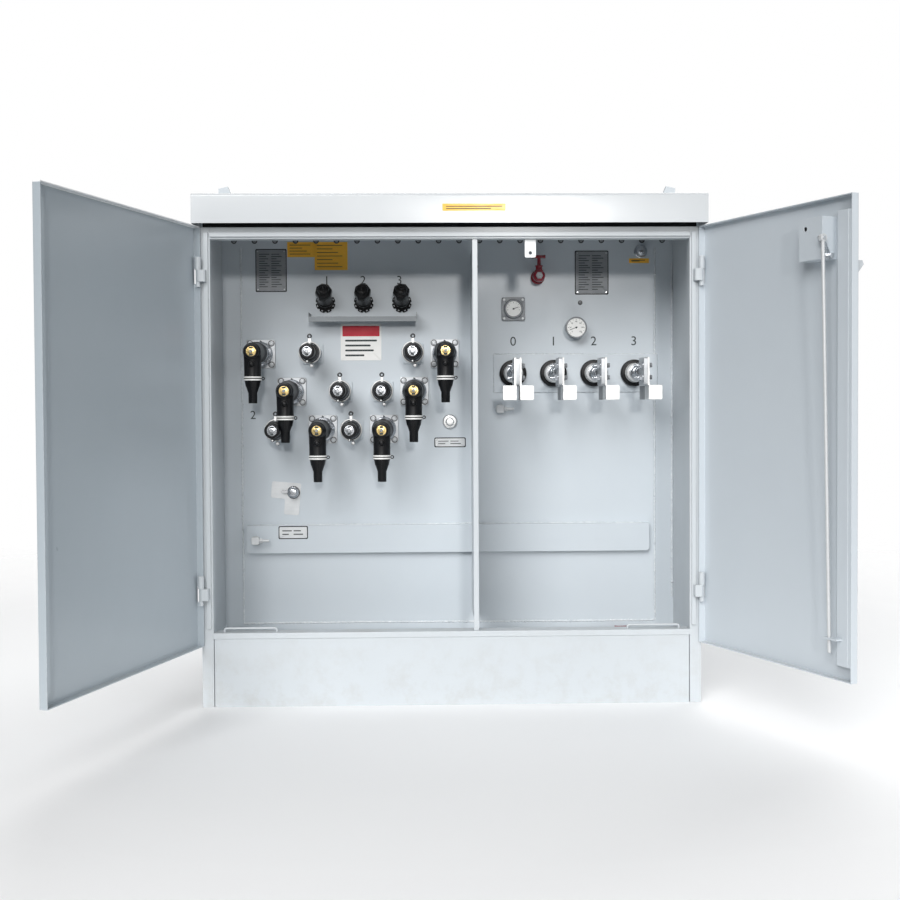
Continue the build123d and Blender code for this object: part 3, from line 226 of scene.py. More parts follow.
def makeCloudGroup():
    # broad stains and finer blotches, as a mask from 0 to 1
    n, vector, enter, leave = startGroup("cloudyTone", ["Mask"], Scale=1.5, Fine=14.0, Contrast=0.22)
    broad = n.math("MULTIPLY", n.noise(vector, enter["Scale"], 3), 0.7)
    fine = n.math("MULTIPLY", n.noise(vector, enter["Fine"], 5, 0.6), 0.3)
    low, high = (n.math(sign, 0.5, enter["Contrast"]) for sign in ("SUBTRACT", "ADD"))
    n.link(n.range(n.math("ADD", broad, fine), low, high), leave["Mask"])
    return n.tree


def makeEdgeGroup():
    # bright on corners: where the rounded normal leaves the face's own, broken up by noise
    n, vector, enter, leave = startGroup("edgeWear", ["Mask"], Radius=0.004, Noise_Scale=60.0, Amount=1.0)
    rounded = n.add("Bevel", {"Radius": enter["Radius"]}, samples=4)[0]
    dot = n.vector("DOT_PRODUCT", rounded, n.add("NewGeometry")["Normal"])["Value"]
    broken = n.range(n.noise(vector, enter["Noise Scale"], 6, 0.65), 0.42, 0.6)
    worn = n.math("MULTIPLY", n.range(dot, 0.995, 0.86), broken)
    n.link(n.math("MULTIPLY", worn, enter["Amount"], True), leave["Mask"])
    return n.tree


def makePeelGroup():
    # sprayed paint's fine orange peel over slow ripples, as a bumped normal
    n, vector, enter, leave = startGroup("orangePeel", ["Normal"], Scale=260.0, Strength=0.12, Ripple=0.07)
    ripple = n.math("MULTIPLY", n.noise(vector, 5.0, 2), n.math("MULTIPLY", enter["Ripple"], 40.0))
    height = n.math("ADD", n.noise(vector, enter["Scale"], 2), ripple)
    n.link(n.bump(height, enter["Strength"], 0.0006), leave["Normal"])
    return n.tree


def makeDustGroup():
    # dust that settled on faces turned up, thicker in patches
    n, vector, enter, leave = startGroup("fallenDust", ["Mask"], Scale=9.0, Amount=0.5)
    upward = n.range(n.height(n.add("NewGeometry")["Normal"]), 0.35, 0.95)
    patches = n.range(n.noise(vector, enter["Scale"], 6, 0.62), 0.35, 0.68)
    n.link(n.math("MULTIPLY", n.math("MULTIPLY", upward, patches), enter["Amount"], True), leave["Mask"])
    return n.tree


def makeBrushGroup():
    # long fine lines of rolled or turned metal: noise stretched along one axis
    n, vector, enter, leave = startGroup(
        "brushLines", ["Mask", "Normal"], Scale=40.0, Stretch=(0.04, 1.0, 1.0), Strength=0.1)
    lines = n.noise(n.vector("MULTIPLY", vector, enter["Stretch"])[0], enter["Scale"], 8, 0.7)
    n.link(n.range(lines, 0.3, 0.7), leave["Mask"])
    n.link(n.bump(lines, enter["Strength"], 0.0003), leave["Normal"])
    return n.tree


groups = {
    "cloud": makeCloudGroup(), "edge": makeEdgeGroup(), "peel": makePeelGroup(),
    "dust": makeDustGroup(), "brush": makeBrushGroup(),
}
print("shader groups built:", len(groups))


def startMaterial(name, **constants):
    material = bpy.data.materials.new(name)
    material.use_nodes = True
    n = Nodes(material.node_tree)
    shader = material.node_tree.nodes["Principled BSDF"].inputs
    for label, value in constants.items():
        shader[label.replace("_", " ")].default_value = value
    return material, n, shader, n.add("TexCoord")["Object"]


def paintMaterial(name, tone, stain, wear, roughness=0.36, peel=0.1, dirt=0.0, coat=0.15, cloudScale=1.1,
                  contrast=0.3):
    # sprayed enamel: two close tones in clouds, lighter worn edges, dust on top, dirt near the floor
    material, n, shader, place = startMaterial(name, Coat_Weight=coat, Coat_Roughness=0.16)
    cloud = n.group("cloud", place, Scale=cloudScale, Fine=9.0, Contrast=contrast)["Mask"]
    edge = n.group("edge", place, Radius=0.0035, Noise_Scale=45.0, Amount=0.55)["Mask"]
    dust = n.group("dust", place, Scale=7.0, Amount=0.3)["Mask"]
    colour = n.mix(edge, n.mix(cloud, stain, tone), wear)
    colour = n.mix(dust, colour, (0.52, 0.5, 0.46))
    if dirt:
        low = n.range(n.height(place), 0.34, 0.0)
        splash = n.range(n.noise(place, 16.0, 8, 0.7), 0.46, 0.72)
        mask = n.math("MULTIPLY", n.math("MULTIPLY", low, splash), dirt, True)
        colour = n.mix(mask, colour, (0.36, 0.33, 0.28))
    n.link(colour, shader["Base Color"])
    rough = n.range(n.noise(place, 7.0, 3), 0.1, 0.9, roughness - 0.06, roughness + 0.1)
    n.link(n.math("ADD", rough, n.math("MULTIPLY", dust, 0.3), True), shader["Roughness"])
    n.link(n.group("peel", place, Strength=peel)["Normal"], shader["Normal"])
    return material


def metalMaterial(name, bright, dark, roughness=0.3, stretch=(0.05, 1, 1), scale=90.0, spots=0.25, metallic=1.0,
                  rubbed=(0.92, 0.92, 0.9)):
    # plated or bare metal: brushed lines, cloudy tarnish and brighter rubbed corners
    material, n, shader, place = startMaterial(name, Metallic=metallic)
    brush = n.group("brush", place, Scale=scale, Stretch=stretch, Strength=0.1)
    cloud = n.group("cloud", place, Scale=24.0, Fine=110.0, Contrast=spots)["Mask"]
    tone = n.math("ADD", n.math("MULTIPLY", brush["Mask"], 0.35), n.math("MULTIPLY", cloud, 0.65), True)
    edge = n.group("edge", place, Radius=0.0015, Noise_Scale=180.0, Amount=0.6)["Mask"]
    n.link(n.mix(edge, n.mix(tone, dark, bright), rubbed), shader["Base Color"])
    n.link(n.range(tone, 0.0, 1.0, roughness + 0.14, roughness - 0.04), shader["Roughness"])
    n.link(brush["Normal"], shader["Normal"])
    return material


def mouldedMaterial(name, tone, grey, roughness=0.28, coat=0.3, grainScale=420.0, ior=1.45):
    # moulded rubber, resin or plastic: fine grain, hazy patches, scuffed edges and dust on top
    material, n, shader, place = startMaterial(name, Coat_Weight=coat, Coat_Roughness=0.12, IOR=ior)
    cloud = n.group("cloud", place, Scale=16.0, Fine=90.0, Contrast=0.25)["Mask"]
    edge = n.group("edge", place, Radius=0.0012, Noise_Scale=150.0, Amount=0.35)["Mask"]
    dust = n.group("dust", place, Scale=40.0, Amount=0.22)["Mask"]
    scuffed = tuple(min(1.0, c * 2.2) for c in grey)
    colour = n.mix(edge, n.mix(n.math("MULTIPLY", cloud, 0.5), tone, grey), scuffed)
    n.link(n.mix(dust, colour, (0.4, 0.39, 0.37)), shader["Base Color"])
    n.link(n.range(cloud, 0.0, 1.0, roughness - 0.06, roughness + 0.12), shader["Roughness"])
    n.link(n.group("peel", place, Scale=grainScale, Strength=0.08, Ripple=0.0)["Normal"], shader["Normal"])
    return material


paints = {    # tone, stain, worn edge, settings
    "cabinetPaint": ((0.555, 0.59, 0.615), (0.525, 0.562, 0.59), (0.70, 0.725, 0.74), {"dirt": 0.3}),
    "wallPaint": ((0.60, 0.65, 0.69), (0.55, 0.605, 0.65), (0.75, 0.785, 0.81), {"peel": 0.16, "cloudScale": 1.6}),
    # leftDoorShadedPaint is a darker copy of the door paint: painted shade for the left door's inner face, which is
    # turned away from the key light
    "leftDoorShadedPaint": ((0.445, 0.495, 0.535), (0.395, 0.45, 0.49), (0.70, 0.735, 0.755), {
        "roughness": 0.3, "peel": 0.12, "coat": 0.25, "cloudScale": 1.7, "contrast": 0.4}),
    "rightDoorPaint": ((0.60, 0.65, 0.69), (0.57, 0.62, 0.665), (0.76, 0.79, 0.81), {"peel": 0.1}),
    "hoodPaint": ((0.55, 0.575, 0.595), (0.52, 0.548, 0.57), (0.7, 0.72, 0.735), {
        "roughness": 0.3, "coat": 0.5, "peel": 0.08}),
    "tankPaint": ((0.56, 0.605, 0.64), (0.50, 0.548, 0.588), (0.72, 0.75, 0.78), {"dirt": 0.5, "peel": 0.2}),
    "whitePaint": ((0.9, 0.91, 0.91), (0.82, 0.84, 0.85), (0.95, 0.95, 0.94), {"peel": 0.08}),
    "redPaint": ((0.30, 0.012, 0.028), (0.2, 0.008, 0.02), (0.5, 0.2, 0.2), {
        "roughness": 0.2, "coat": 0.6, "cloudScale": 30.0}),
    # weldHighlightPaint is much lighter and glossier than the tank paint it sits on: painted highlight so the beads
    # read as bright lines
    "weldHighlightPaint": ((0.82, 0.85, 0.87), (0.48, 0.53, 0.57), (0.92, 0.93, 0.94), {
        "roughness": 0.2, "peel": 0.4, "cloudScale": 60.0}),
    # shieldShadedPaint's dark tone is painted shade for the drip shield's downturned face, and its near-white worn
    # edge is partly wear and partly a painted highlight along the top edge
    "shieldShadedPaint": ((0.25, 0.275, 0.295), (0.19, 0.21, 0.225), (0.85, 0.87, 0.88), {
        "roughness": 0.4, "cloudScale": 5.0}),
}
metals = {    # bright, dark, roughness, settings
    "platedSteel": ((0.86, 0.87, 0.88), (0.52, 0.54, 0.57), 0.24, {}),
    "bushingSteel": ((0.78, 0.8, 0.83), (0.34, 0.36, 0.39), 0.2, {"stretch": (1, 0.05, 1), "spots": 0.34}),
    "tinPlate": ((0.86, 0.86, 0.85), (0.62, 0.63, 0.63), 0.38, {
        "stretch": (1, 1, 0.06), "scale": 60.0, "metallic": 0.85}),
    "zincPlate": ((0.66, 0.68, 0.7), (0.46, 0.48, 0.5), 0.4, {"scale": 70.0, "metallic": 0.55}),
    "castGrey": ((0.33, 0.345, 0.36), (0.17, 0.18, 0.195), 0.42, {
        "stretch": (1, 1, 1), "scale": 120.0, "metallic": 0.3, "rubbed": (0.75, 0.76, 0.77)}),
    "darkSteel": ((0.13, 0.135, 0.14), (0.035, 0.037, 0.04), 0.34, {
        "stretch": (1, 1, 1), "scale": 150.0, "metallic": 0.8, "rubbed": (0.5, 0.5, 0.5)}),
    "satinPlate": ((0.72, 0.73, 0.74), (0.58, 0.6, 0.61), 0.42, {"stretch": (0.04, 1, 1), "metallic": 0.25}),
    "platePressed": ((0.34, 0.355, 0.37), (0.22, 0.235, 0.25), 0.45, {
        "stretch": (0.03, 1, 1), "scale": 160.0, "metallic": 0.15}),
    "brass": ((0.93, 0.74, 0.36), (0.72, 0.5, 0.18), 0.22, {"stretch": (1, 0.1, 1)}),
}
moulded = {    # tone, greyed tone, roughness, coat, settings
    "rubber": ((0.003, 0.003, 0.004), (0.007, 0.008, 0.009), 0.38, 0.04, {"ior": 1.36}),
    "resin": ((0.004, 0.004, 0.004), (0.01, 0.009, 0.01), 0.2, 0.15, {"ior": 1.38}),
    "whitePlastic": ((0.86, 0.86, 0.84), (0.74, 0.74, 0.72), 0.34, 0.2, {}),
    "porcelain": ((0.88, 0.88, 0.87), (0.72, 0.73, 0.73), 0.16, 0.7, {"grainScale": 200.0}),
    "yellowFilm": ((1.0, 0.55, 0.06), (0.9, 0.47, 0.045), 0.4, 0.1, {}),
    "paleFilm": ((0.9, 0.9, 0.88), (0.8, 0.8, 0.79), 0.4, 0.1, {}),
    "redFilm": ((0.62, 0.012, 0.035), (0.52, 0.01, 0.028), 0.45, 0.05, {}),
    "darkInk": ((0.02, 0.03, 0.032), (0.05, 0.06, 0.06), 0.5, 0.0, {}),
}
materials = {
    name: make(name, *look[:-1], **look[-1])
    for make, table in ((paintMaterial, paints), (metalMaterial, metals), (mouldedMaterial, moulded))
    for name, look in table.items()}
usualSlots = {
    **dict.fromkeys(paints, "grey_paint"), **dict.fromkeys(metals, "plated_steel"), "rubber": "black_rubber",
    "resin": "black_resin", "darkInk": "black_resin", "redPaint": "red_paint", "redFilm": "red_paint", "brass": None}
print("materials built:", len(materials))


# Surface kit. Each surface is an array of points whose last axes are rows, columns and x, y, z
mergeReach = 2e-6        # metres within which two points are one
edgeAngle = 32           # degrees past which an edge of a CAD piece is rounded


def gridFaces(rows, columns, closedRows):
    # quad (i, j) joins (i, j), (i, j+1), (i+1, j+1) and (i+1, j); the last column joins the first
    i = np.arange(rows if closedRows else rows - 1)[:, None]
    j = np.arange(columns)[None, :]
    nextRow, nextColumn = (i + 1) % rows, (j + 1) % columns
    quads = [i * columns + j, i * columns + nextColumn, nextRow * columns + nextColumn, nextRow * columns + j]
    return np.stack(quads, axis=-1).reshape(-1, 4)


def seatPiece(name, mesh, material, replaces=None, body=mainBody, slot=None, smoothAngle=30):
    mesh.shade_smooth()
    mesh.set_sharp_from_angle(angle=math.radians(smoothAngle))
    mesh.materials.append(materials[material])
    piece = stand(name, mesh)
    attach(piece, body)
    slot = slot or usualSlots.get(material)
    if replaces:
        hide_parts(replaces)
    return piece


def makePiece(name, surfaces, material, replaces=None, body=mainBody, slot=None, smoothAngle=38, closedRows=False):
    # joins grids of points, merges seams and poles, turns every face outwards and seats the piece
    points, faces, count = [], [], 0
    for surface in surfaces:
        grid = np.asarray(surface, float)
        rows, columns = grid.shape[-3:-1]
        copies = grid.reshape(-1, rows * columns, 3)
        shifts = count + np.arange(len(copies))[:, None, None] * rows * columns
        points.append(copies.reshape(-1, 3))
        faces.append((gridFaces(rows, columns, closedRows)[None] + shifts).reshape(-1, 4))
        count += len(copies) * rows * columns
    mesh = bpy.data.meshes.new(name)
    mesh.from_pydata(np.concatenate(points).tolist(), [], np.concatenate(faces).tolist())
    build = bmesh.new()
    build.from_mesh(mesh)
    bmesh.ops.remove_doubles(build, verts=build.verts, dist=mergeReach)
    bmesh.ops.dissolve_degenerate(build, edges=build.edges, dist=mergeReach / 2)
    bmesh.ops.recalc_face_normals(build, faces=build.faces)
    build.to_mesh(mesh)
    build.free()
    return seatPiece(name, mesh, material, replaces, body, slot, smoothAngle)


def softCorners(points, reach, steps):
    # each inner corner B becomes the curve (1-t)^2 A + 2t(1-t) B + t^2 C, with A and C near B on its sides
    points = np.asarray(points, float)
    corner = points[1:-1]

    def along(side):
        length = np.linalg.norm(side, axis=1, keepdims=True)
        return corner + side / length * np.minimum(reach, length * 0.45)

    start, end = along(points[:-2] - corner), along(points[2:] - corner)
    t = np.linspace(0, 1, steps)[None, :, None]
    curve = (1 - t) ** 2 * start[:, None] + 2 * t * (1 - t) * corner[:, None] + t ** 2 * end[:, None]
    return np.concatenate([points[:1], curve.reshape(-1, 2), points[-1:]])


def crossAxes(axis):
    axis = np.asarray(axis, float)
    axis = axis / np.linalg.norm(axis)
    helper = (0, 0, 1) if abs(axis[2]) < 0.9 else (1, 0, 0)
    first = np.cross(helper, axis)
    first /= np.linalg.norm(first)
    return axis, first, np.cross(axis, first)


def turned(profile, places, soft=None, axis=outward, sides=40, corners=0, turn=0.0, notches=0, depth=0.0):
    # P(u, v) = place + axis * along(u) + radius(u) * section(v) * (e1 cos v + e2 sin v); profile in mm, closed to
    # the axis at both ends, with corners rounded by soft = reach, steps. The section is 1 on a circle, follows a
    # polygon's sides where corners are asked, and dips by depth at each notch
    points = [tuple(point) for point in profile]
    if points[0][1]:
        points.insert(0, (points[0][0], 0))
    if points[-1][1]:
        points.append((points[-1][0], 0))
    points = (softCorners(points, *soft) if soft else np.array(points, float)) * mm
    axis, first, second = crossAxes(axis)
    v = np.linspace(0, 2 * np.pi, sides, endpoint=False) + turn
    section = np.ones(sides)
    if corners:
        wedge = 2 * np.pi / corners
        section = np.cos(wedge / 2) / np.cos(np.mod(v - turn, wedge) - wedge / 2)
    if notches:
        section = section - depth * (np.cos(notches * v) > 0.82)
    ring = (first[None] * np.cos(v)[:, None] + second[None] * np.sin(v)[:, None]) * section[:, None]
    shape = points[:, 0, None, None] * axis[None, None] + points[:, 1, None, None] * ring[None]
    return np.asarray(places, float).reshape(-1, 1, 1, 3) + shape[None]


def slab(width, height, radius, thickness, places, edge=0.6, steps=5, across=(1, 0, 0), out=outward):
    # outline(v) = corner centres plus radius * (cos, sin) over each quarter, in mm. P(u, v) = place + inset(u) *
    # outline(v) in the plane + out * rise(u), closed by a middle point each side
    angles = (np.linspace(0, np.pi / 2, steps)[None] + np.arange(4)[:, None] * np.pi / 2).ravel()
    signs = np.repeat(np.array([[1, 1], [-1, 1], [-1, -1], [1, -1]], float), steps, axis=0)
    centres = signs * (np.array([width, height]) / 2 - radius)
    outline = centres + radius * np.stack([np.cos(angles), np.sin(angles)], axis=1)
    out, across = np.asarray(out, float), np.asarray(across, float)
    inset = np.array([[0, 0], [1, 1], [1, 1], [1 - 2 * edge / width, 1 - 2 * edge / height], [0, 0]])
    rise = np.array([0, 0, thickness - edge, thickness, thickness]) * mm
    flat = inset[:, None] * outline[None] * mm
    shape = flat[..., 0, None] * across + flat[..., 1, None] * np.cross(across, out) + rise[:, None, None] * out
    return np.asarray(places, float).reshape(-1, 1, 1, 3) + shape[None]


def pipe(path, radius, sides, planeNormal=(1, 0, 0)):
    # P(u, v) = path(u) + radius(u) * (n cos v + b sin v), with n the plane's normal and b = tangent x n
    tangent = np.gradient(path, axis=0)
    tangent /= np.linalg.norm(tangent, axis=1, keepdims=True)
    normal = np.broadcast_to(np.asarray(planeNormal, float), path.shape)
    side = np.cross(tangent, normal)
    v = np.linspace(0, 2 * np.pi, sides, endpoint=False)
    radius = np.broadcast_to(np.asarray(radius, float), len(path))
    ring = normal[:, None] * np.cos(v)[None, :, None] + side[:, None] * np.sin(v)[None, :, None]
    ends = [np.repeat(path[k][None, None], sides, axis=1) for k in (0, -1)]
    return np.concatenate([ends[0], path[:, None] + radius[:, None, None] * ring, ends[1]])


def torus(places, bigRadius, smallRadius, sides, smallSides=12, axis=(0, 1, 0)):
    # P(u, v) = place + (R + r cos u)(e1 cos v + e2 sin v) + axis r sin u; radii in mm
    axis, first, second = crossAxes(axis)
    u = np.linspace(0, 2 * np.pi, smallSides, endpoint=False)[:, None, None]
    v = np.linspace(0, 2 * np.pi, sides, endpoint=False)[None, :, None]
    ring = first * np.cos(v) + second * np.sin(v)
    shape = ((bigRadius + smallRadius * np.cos(u)) * ring + axis * smallRadius * np.sin(u)) * mm
    return np.asarray(places, float).reshape(-1, 1, 1, 3) + shape[None]


def washerAndNut(places, nut, washer, height, stud=0.0, axis=outward):
    # a washer, a chamfered hexagon on it and the stud's end showing
    thick = 1.8
    top = thick + height
    end = top + stud
    surfaces = [
        turned([(0, washer), (thick, washer)], places, (0.6, 3), axis, 24),
        turned([(thick, nut), (top - 1.2, nut), (top, nut * 0.84)], places, None, axis, 24, 6)]
    if stud:
        profile = [(top - 1, nut * 0.5), (end - 0.8, nut * 0.5), (end, nut * 0.4)]
        surfaces.append(turned(profile, places, None, axis, 16))
    return surfaces


def markText(name, words):
    # plain numbers laid flat on the wall: each entry is text, place of its middle, height
    build = bmesh.new()
    for text, place, height in words:
        curve = bpy.data.curves.new(name, "FONT")
        curve.body, curve.size, curve.extrude = text, height, 0.00025
        curve.align_x = curve.align_y = "CENTER"
        holder = stand(name, curve)
        mesh = bpy.data.meshes.new_from_object(holder)
        bpy.data.objects.remove(holder)
        mesh.transform(Matrix.Translation(place.tolist()) @ Matrix.Rotation(math.pi / 2, 4, "X"))
        build.from_mesh(mesh)
    joined = bpy.data.meshes.new(name)
    bmesh.ops.remove_doubles(build, verts=build.verts, dist=mergeReach)
    bmesh.ops.recalc_face_normals(build, faces=build.faces)
    build.to_mesh(joined)
    build.free()
    seatPiece(name, joined, "darkInk")


def dressNode(node, material, bevel, slot=None):
    # a merged copy of the CAD piece with its flat faces made whole and its edges rounded
    source = frame["nodes"][node]
    mesh = source.data.copy()
    mesh.materials.clear()
    build = bmesh.new()
    build.from_mesh(mesh)
    bmesh.ops.remove_doubles(build, verts=build.verts, dist=mergeReach)
    bmesh.ops.dissolve_limit(
        build, angle_limit=math.radians(0.6), verts=build.verts, edges=build.edges, use_dissolve_boundaries=False)
    build.to_mesh(mesh)
    build.free()
    for layer in [a for a in mesh.attributes if a.name == "custom_normal"]:
        mesh.attributes.remove(layer)
    piece = seatPiece(node + "Skin", mesh, material, node, source["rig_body"], slot, edgeAngle)
    if bevel:
        rounding = piece.modifiers.new("roundedEdges", "BEVEL")
        rounding.width = bevel * mm
        rounding.segments = 2
        rounding.limit_method = "ANGLE"
        rounding.angle_limit = math.radians(edgeAngle)
        rounding.use_clamp_overlap = True
        rounding.harden_normals = True


# The left door's outer lips get a near-white paint: a painted highlight for their lit faces
leftLipHighlight = {"color": (0.93, 0.94, 0.945), "sideLip": 0.004, "topLip": 0.0035}


def addRim(name, rimHighlight, direction, reach, top):
    # a painted highlight: lighter paint where place . direction passes reach or place's z passes top
    n = Nodes(materials[name].node_tree)
    place = n.add("TexCoord")["Object"]
    side = n.range(n.vector("DOT_PRODUCT", place, direction)["Value"], reach - mm, reach)
    over = n.range(n.height(place), top - mm, top)
    base = n.tree.nodes["Principled BSDF"].inputs["Base Color"]
    n.link(n.mix(n.math("ADD", side, over, True), base.links[0].from_socket, rimHighlight), base)


def lightenLeftDoor():
    v = leftLipHighlight
    hinge = jointPlace("left_door_hinge")
    low, high = span("left_door")
    free = np.array([low[0] - hinge[0], low[1] - hinge[1], 0])
    reach = float(np.linalg.norm(free))
    free /= reach
    addRim("leftDoorShadedPaint", v["color"], tuple(free.tolist()), float(hinge @ free) + reach - v["sideLip"],
           float(high[2]) - v["topLip"])


lightenLeftDoor()

# Sheet metal and castings keep their CAD form, with rounded edges (width in mm) and paint
sheetFinish = {
    "tankPaint": {"tank": 4, "tank_cover": 2, "left_radiator": 0, "right_radiator": 0, "radiator_headers": 0,
                  "lifting_lugs": 2},
    "wallPaint": {"tank_front_plate": 0, "channel_bar": 1.2, "lv_plate": 1},
    "cabinetPaint": {"cabinet_left_side": 1, "cabinet_right_side": 1, "left_post": 1.2, "right_post": 1.2,
                     "head_beam": 1.2, "sill": 1.2, "apron": 1, "barrier": 0.8, "sill_handles": 0, "hinge_blocks": 0.8,
                     "left_door_knuckles": 0, "right_door_knuckles": 0, "padlock_hood": 0.8},
    "hoodPaint": {"hood": 1},
    "leftDoorShadedPaint": {"left_door": 1},
    "rightDoorPaint": {"right_door": 1, "door_stiffener": 0.8, "lock_box": 0.8, "rod_guide": 0.6},
    "whitePaint": {"keeper_tab": 0.8},
    "shieldShadedPaint": {"drip_shield": 0.7},
}
for material, bevels in sheetFinish.items():
    for node, bevel in bevels.items():
        dressNode(node, material, bevel)
print("sheet pieces dressed:", sum(map(len, sheetFinish.values())))

wallY = span("tank_front_plate")[0][1]


def onWall(x, z, out=0.0):
    return np.array([x, wallY - out * mm, z])


def wallMiddle(node):
    low, high = span(node)
    return onWall((low[0] + high[0]) / 2, (low[2] + high[2]) / 2)


def shifted(spots, across=0.0, out=0.0, up=0.0):
    return spots + np.array([across, -out, up]) * mm


def fourCorners(spots, halfWidth, halfHeight, out):
    spots = np.atleast_2d(spots)
    return np.concatenate([shifted(spots, x * halfWidth, out, z * halfHeight) for x in (-1, 1) for z in (-1, 1)])


# High-voltage side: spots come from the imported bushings' box
highVoltage = {"flange": 0.111, "columns": (-3, -2, -1, 1, 2, 3)}
hvLow, hvHigh = span("hv_bushings")
hvMiddle = (hvLow[0] + hvHigh[0]) / 2
hvStep = (hvHigh[0] - hvLow[0] - highVoltage["flange"]) / 6
hvTop = hvHigh[2] - highVoltage["flange"] / 2
hvRow = (hvHigh[2] - hvLow[2] - highVoltage["flange"]) / 2
hvSpots = np.array([onWall(hvMiddle + c * hvStep, hvTop - (3 - abs(c)) * hvRow) for c in highVoltage["columns"]])

bushing = {
    "plate": 111, "plateThickness": 9, "plateCorner": 8, "nutSpacing": 82, "markRise": 48.5,
    "collar": [(8, 46), (11, 47), (20, 47), (21, 44.5), (33, 43.5), (34, 40), (46, 40)],
    "groove": [(44, 37), (58, 37)],
    "shank": [(56, 39.5), (66, 39.5), (68, 36.5), (96, 36.5), (98, 38.5), (106, 38.5), (108, 35), (130, 35)],
    "nutShadowRing": [(-1, 12.6), (0.6, 12.4)],
    "mark": [(0, 6.5), (1.2, 5.5)],
}


def makeHvBushings():
    v = bushing
    thick, half = v["plateThickness"], v["nutSpacing"] / 2
    corners = fourCorners(hvSpots, half, half, thick)
    flanges = slab(v["plate"], v["plate"], v["plateCorner"], thick, hvSpots, 1.2)
    makePiece("hvFlanges", [flanges], "zincPlate", "hv_bushings")
    # dark steel discs under the flange nuts: painted shadow rings around each nut
    makePiece("hvNutShadowRings", [turned(v["nutShadowRing"], corners, sides=24)], "darkSteel")
    makePiece("hvFlangeNuts", washerAndNut(corners, 7.4, 8.8, 3.6, 1.6), "zincPlate")
    collars = [turned(v[k], hvSpots, (1, 3), sides=48) for k in ("collar", "shank")]
    makePiece("hvCollars", collars, "bushingSteel", "hv_bushings")
    makePiece("hvCollarGrooves", [turned(v["groove"], hvSpots)], "rubber")
    marks = shifted(hvSpots, 0, thick - 0.4, v["markRise"])
    makePiece("hvFlangeMarks", [turned(v["mark"], marks, sides=3)], "darkInk")


elbow = {
    "legOut": 248, "sphere": 33.5,
    "barrel": [(124, 37), (127, 40.5), (150, 41), (158, 38.5), (164, 37.5), (172, 35.5), (205, 34.2), (248, 33.5),
               (268, 32.5), (279, 27.5), (283, 27.0), (287, 26.4)],
    "leg": [(30, 31.6), (60, 31.0), (90, 31.0), (91, 32.2), (107, 32.2)],
    "cone": [(108, 29.6), (128, 25.6), (130, 24.0), (149, 17.6), (151, 16.4), (190, 16.0)],
    "mouth": [(190, 12.4), (176, 12.4), (176, 0)],
    "bands": ((91.6, 97.2), (100.8, 106.4)), "bandRadius": 33.6,
    "cap": [(284, 24.5), (290, 24.3), (292, 22.5), (292, 19.6), (289, 19.4)],
    "disc": [(286, 19.0), (291.4, 18.8), (292.6, 17.4), (292.2, 12.5), (293.0, 11.6)],
    "nut": [(288, 6.4), (297.5, 6.4), (299, 5.2)],
    "slotOut": 292.4, "slotRise": 12.4,
    "testPoint": [(262, 12.4), (280, 12.0), (285, 9.6), (288.4, 5.0), (289.2, 0)], "testPointDrop": 46,
    "ribSpan": (110, 186), "ribRadius": 1.3, "ribStand": 0.4,
    "pullRing": (5.2, 1.7), "pullRingAside": 37.5, "pullRingDrop": 99,
}


def makeElbows():
    v = elbow
    down, count = (0, 0, -1), 14
    axes = shifted(hvSpots, 0, v["legOut"])
    t = np.linspace(0, np.pi / 2, 10)
    dome = v["sphere"] * np.stack([-np.cos(t), np.sin(t)], axis=1)
    leg = np.concatenate([dome, softCorners(v["leg"] + v["cone"] + v["mouth"], 1.2, 3)])
    drop = np.linspace(*v["ribSpan"], count)
    ribOut = np.interp(drop, *zip(*v["cone"])) + v["ribStand"]
    ribPath = np.stack([np.zeros(count), -ribOut, -drop], axis=1) * mm
    makePiece("elbowBodies", [
        turned(v["barrel"], hvSpots, (2, 4), sides=56), turned(leg, axes, None, down, 56),
        turned(v["testPoint"], shifted(hvSpots, 0, 0, -v["testPointDrop"]), (1.2, 3), sides=28),
        turned(v["cap"], hvSpots, (0.8, 3)), axes[:, None, None] + pipe(ribPath, v["ribRadius"] * mm, 8)[None],
    ], "rubber", "hv_elbows", smoothAngle=48)
    pulls = torus(shifted(axes, v["pullRingAside"], 0, -v["pullRingDrop"]), *v["pullRing"], 24, 10)
    makePiece("elbowPullRings", [pulls], "rubber", closedRows=True)
    radius = v["bandRadius"]
    bands = [turned([(a, radius), (b, radius)], axes, (1, 3), down, 48) for a, b in v["bands"]]
    makePiece("elbowBands", bands, "whitePlastic")
    makePiece("elbowDiscs", [turned(v["disc"], hvSpots, (0.5, 3))], "brass")
    nuts = turned(v["nut"], hvSpots, sides=24, corners=6, turn=0.3)
    makePiece("elbowNuts", [nuts], "castGrey", slot="tinned_copper")
    slots = np.concatenate([shifted(hvSpots, 0, v["slotOut"], z) for z in (v["slotRise"], -v["slotRise"])])
    makePiece("elbowDiscSlots", [slab(14, 7.4, 2, 1.2, slots, 0.3, 3)], "darkInk")


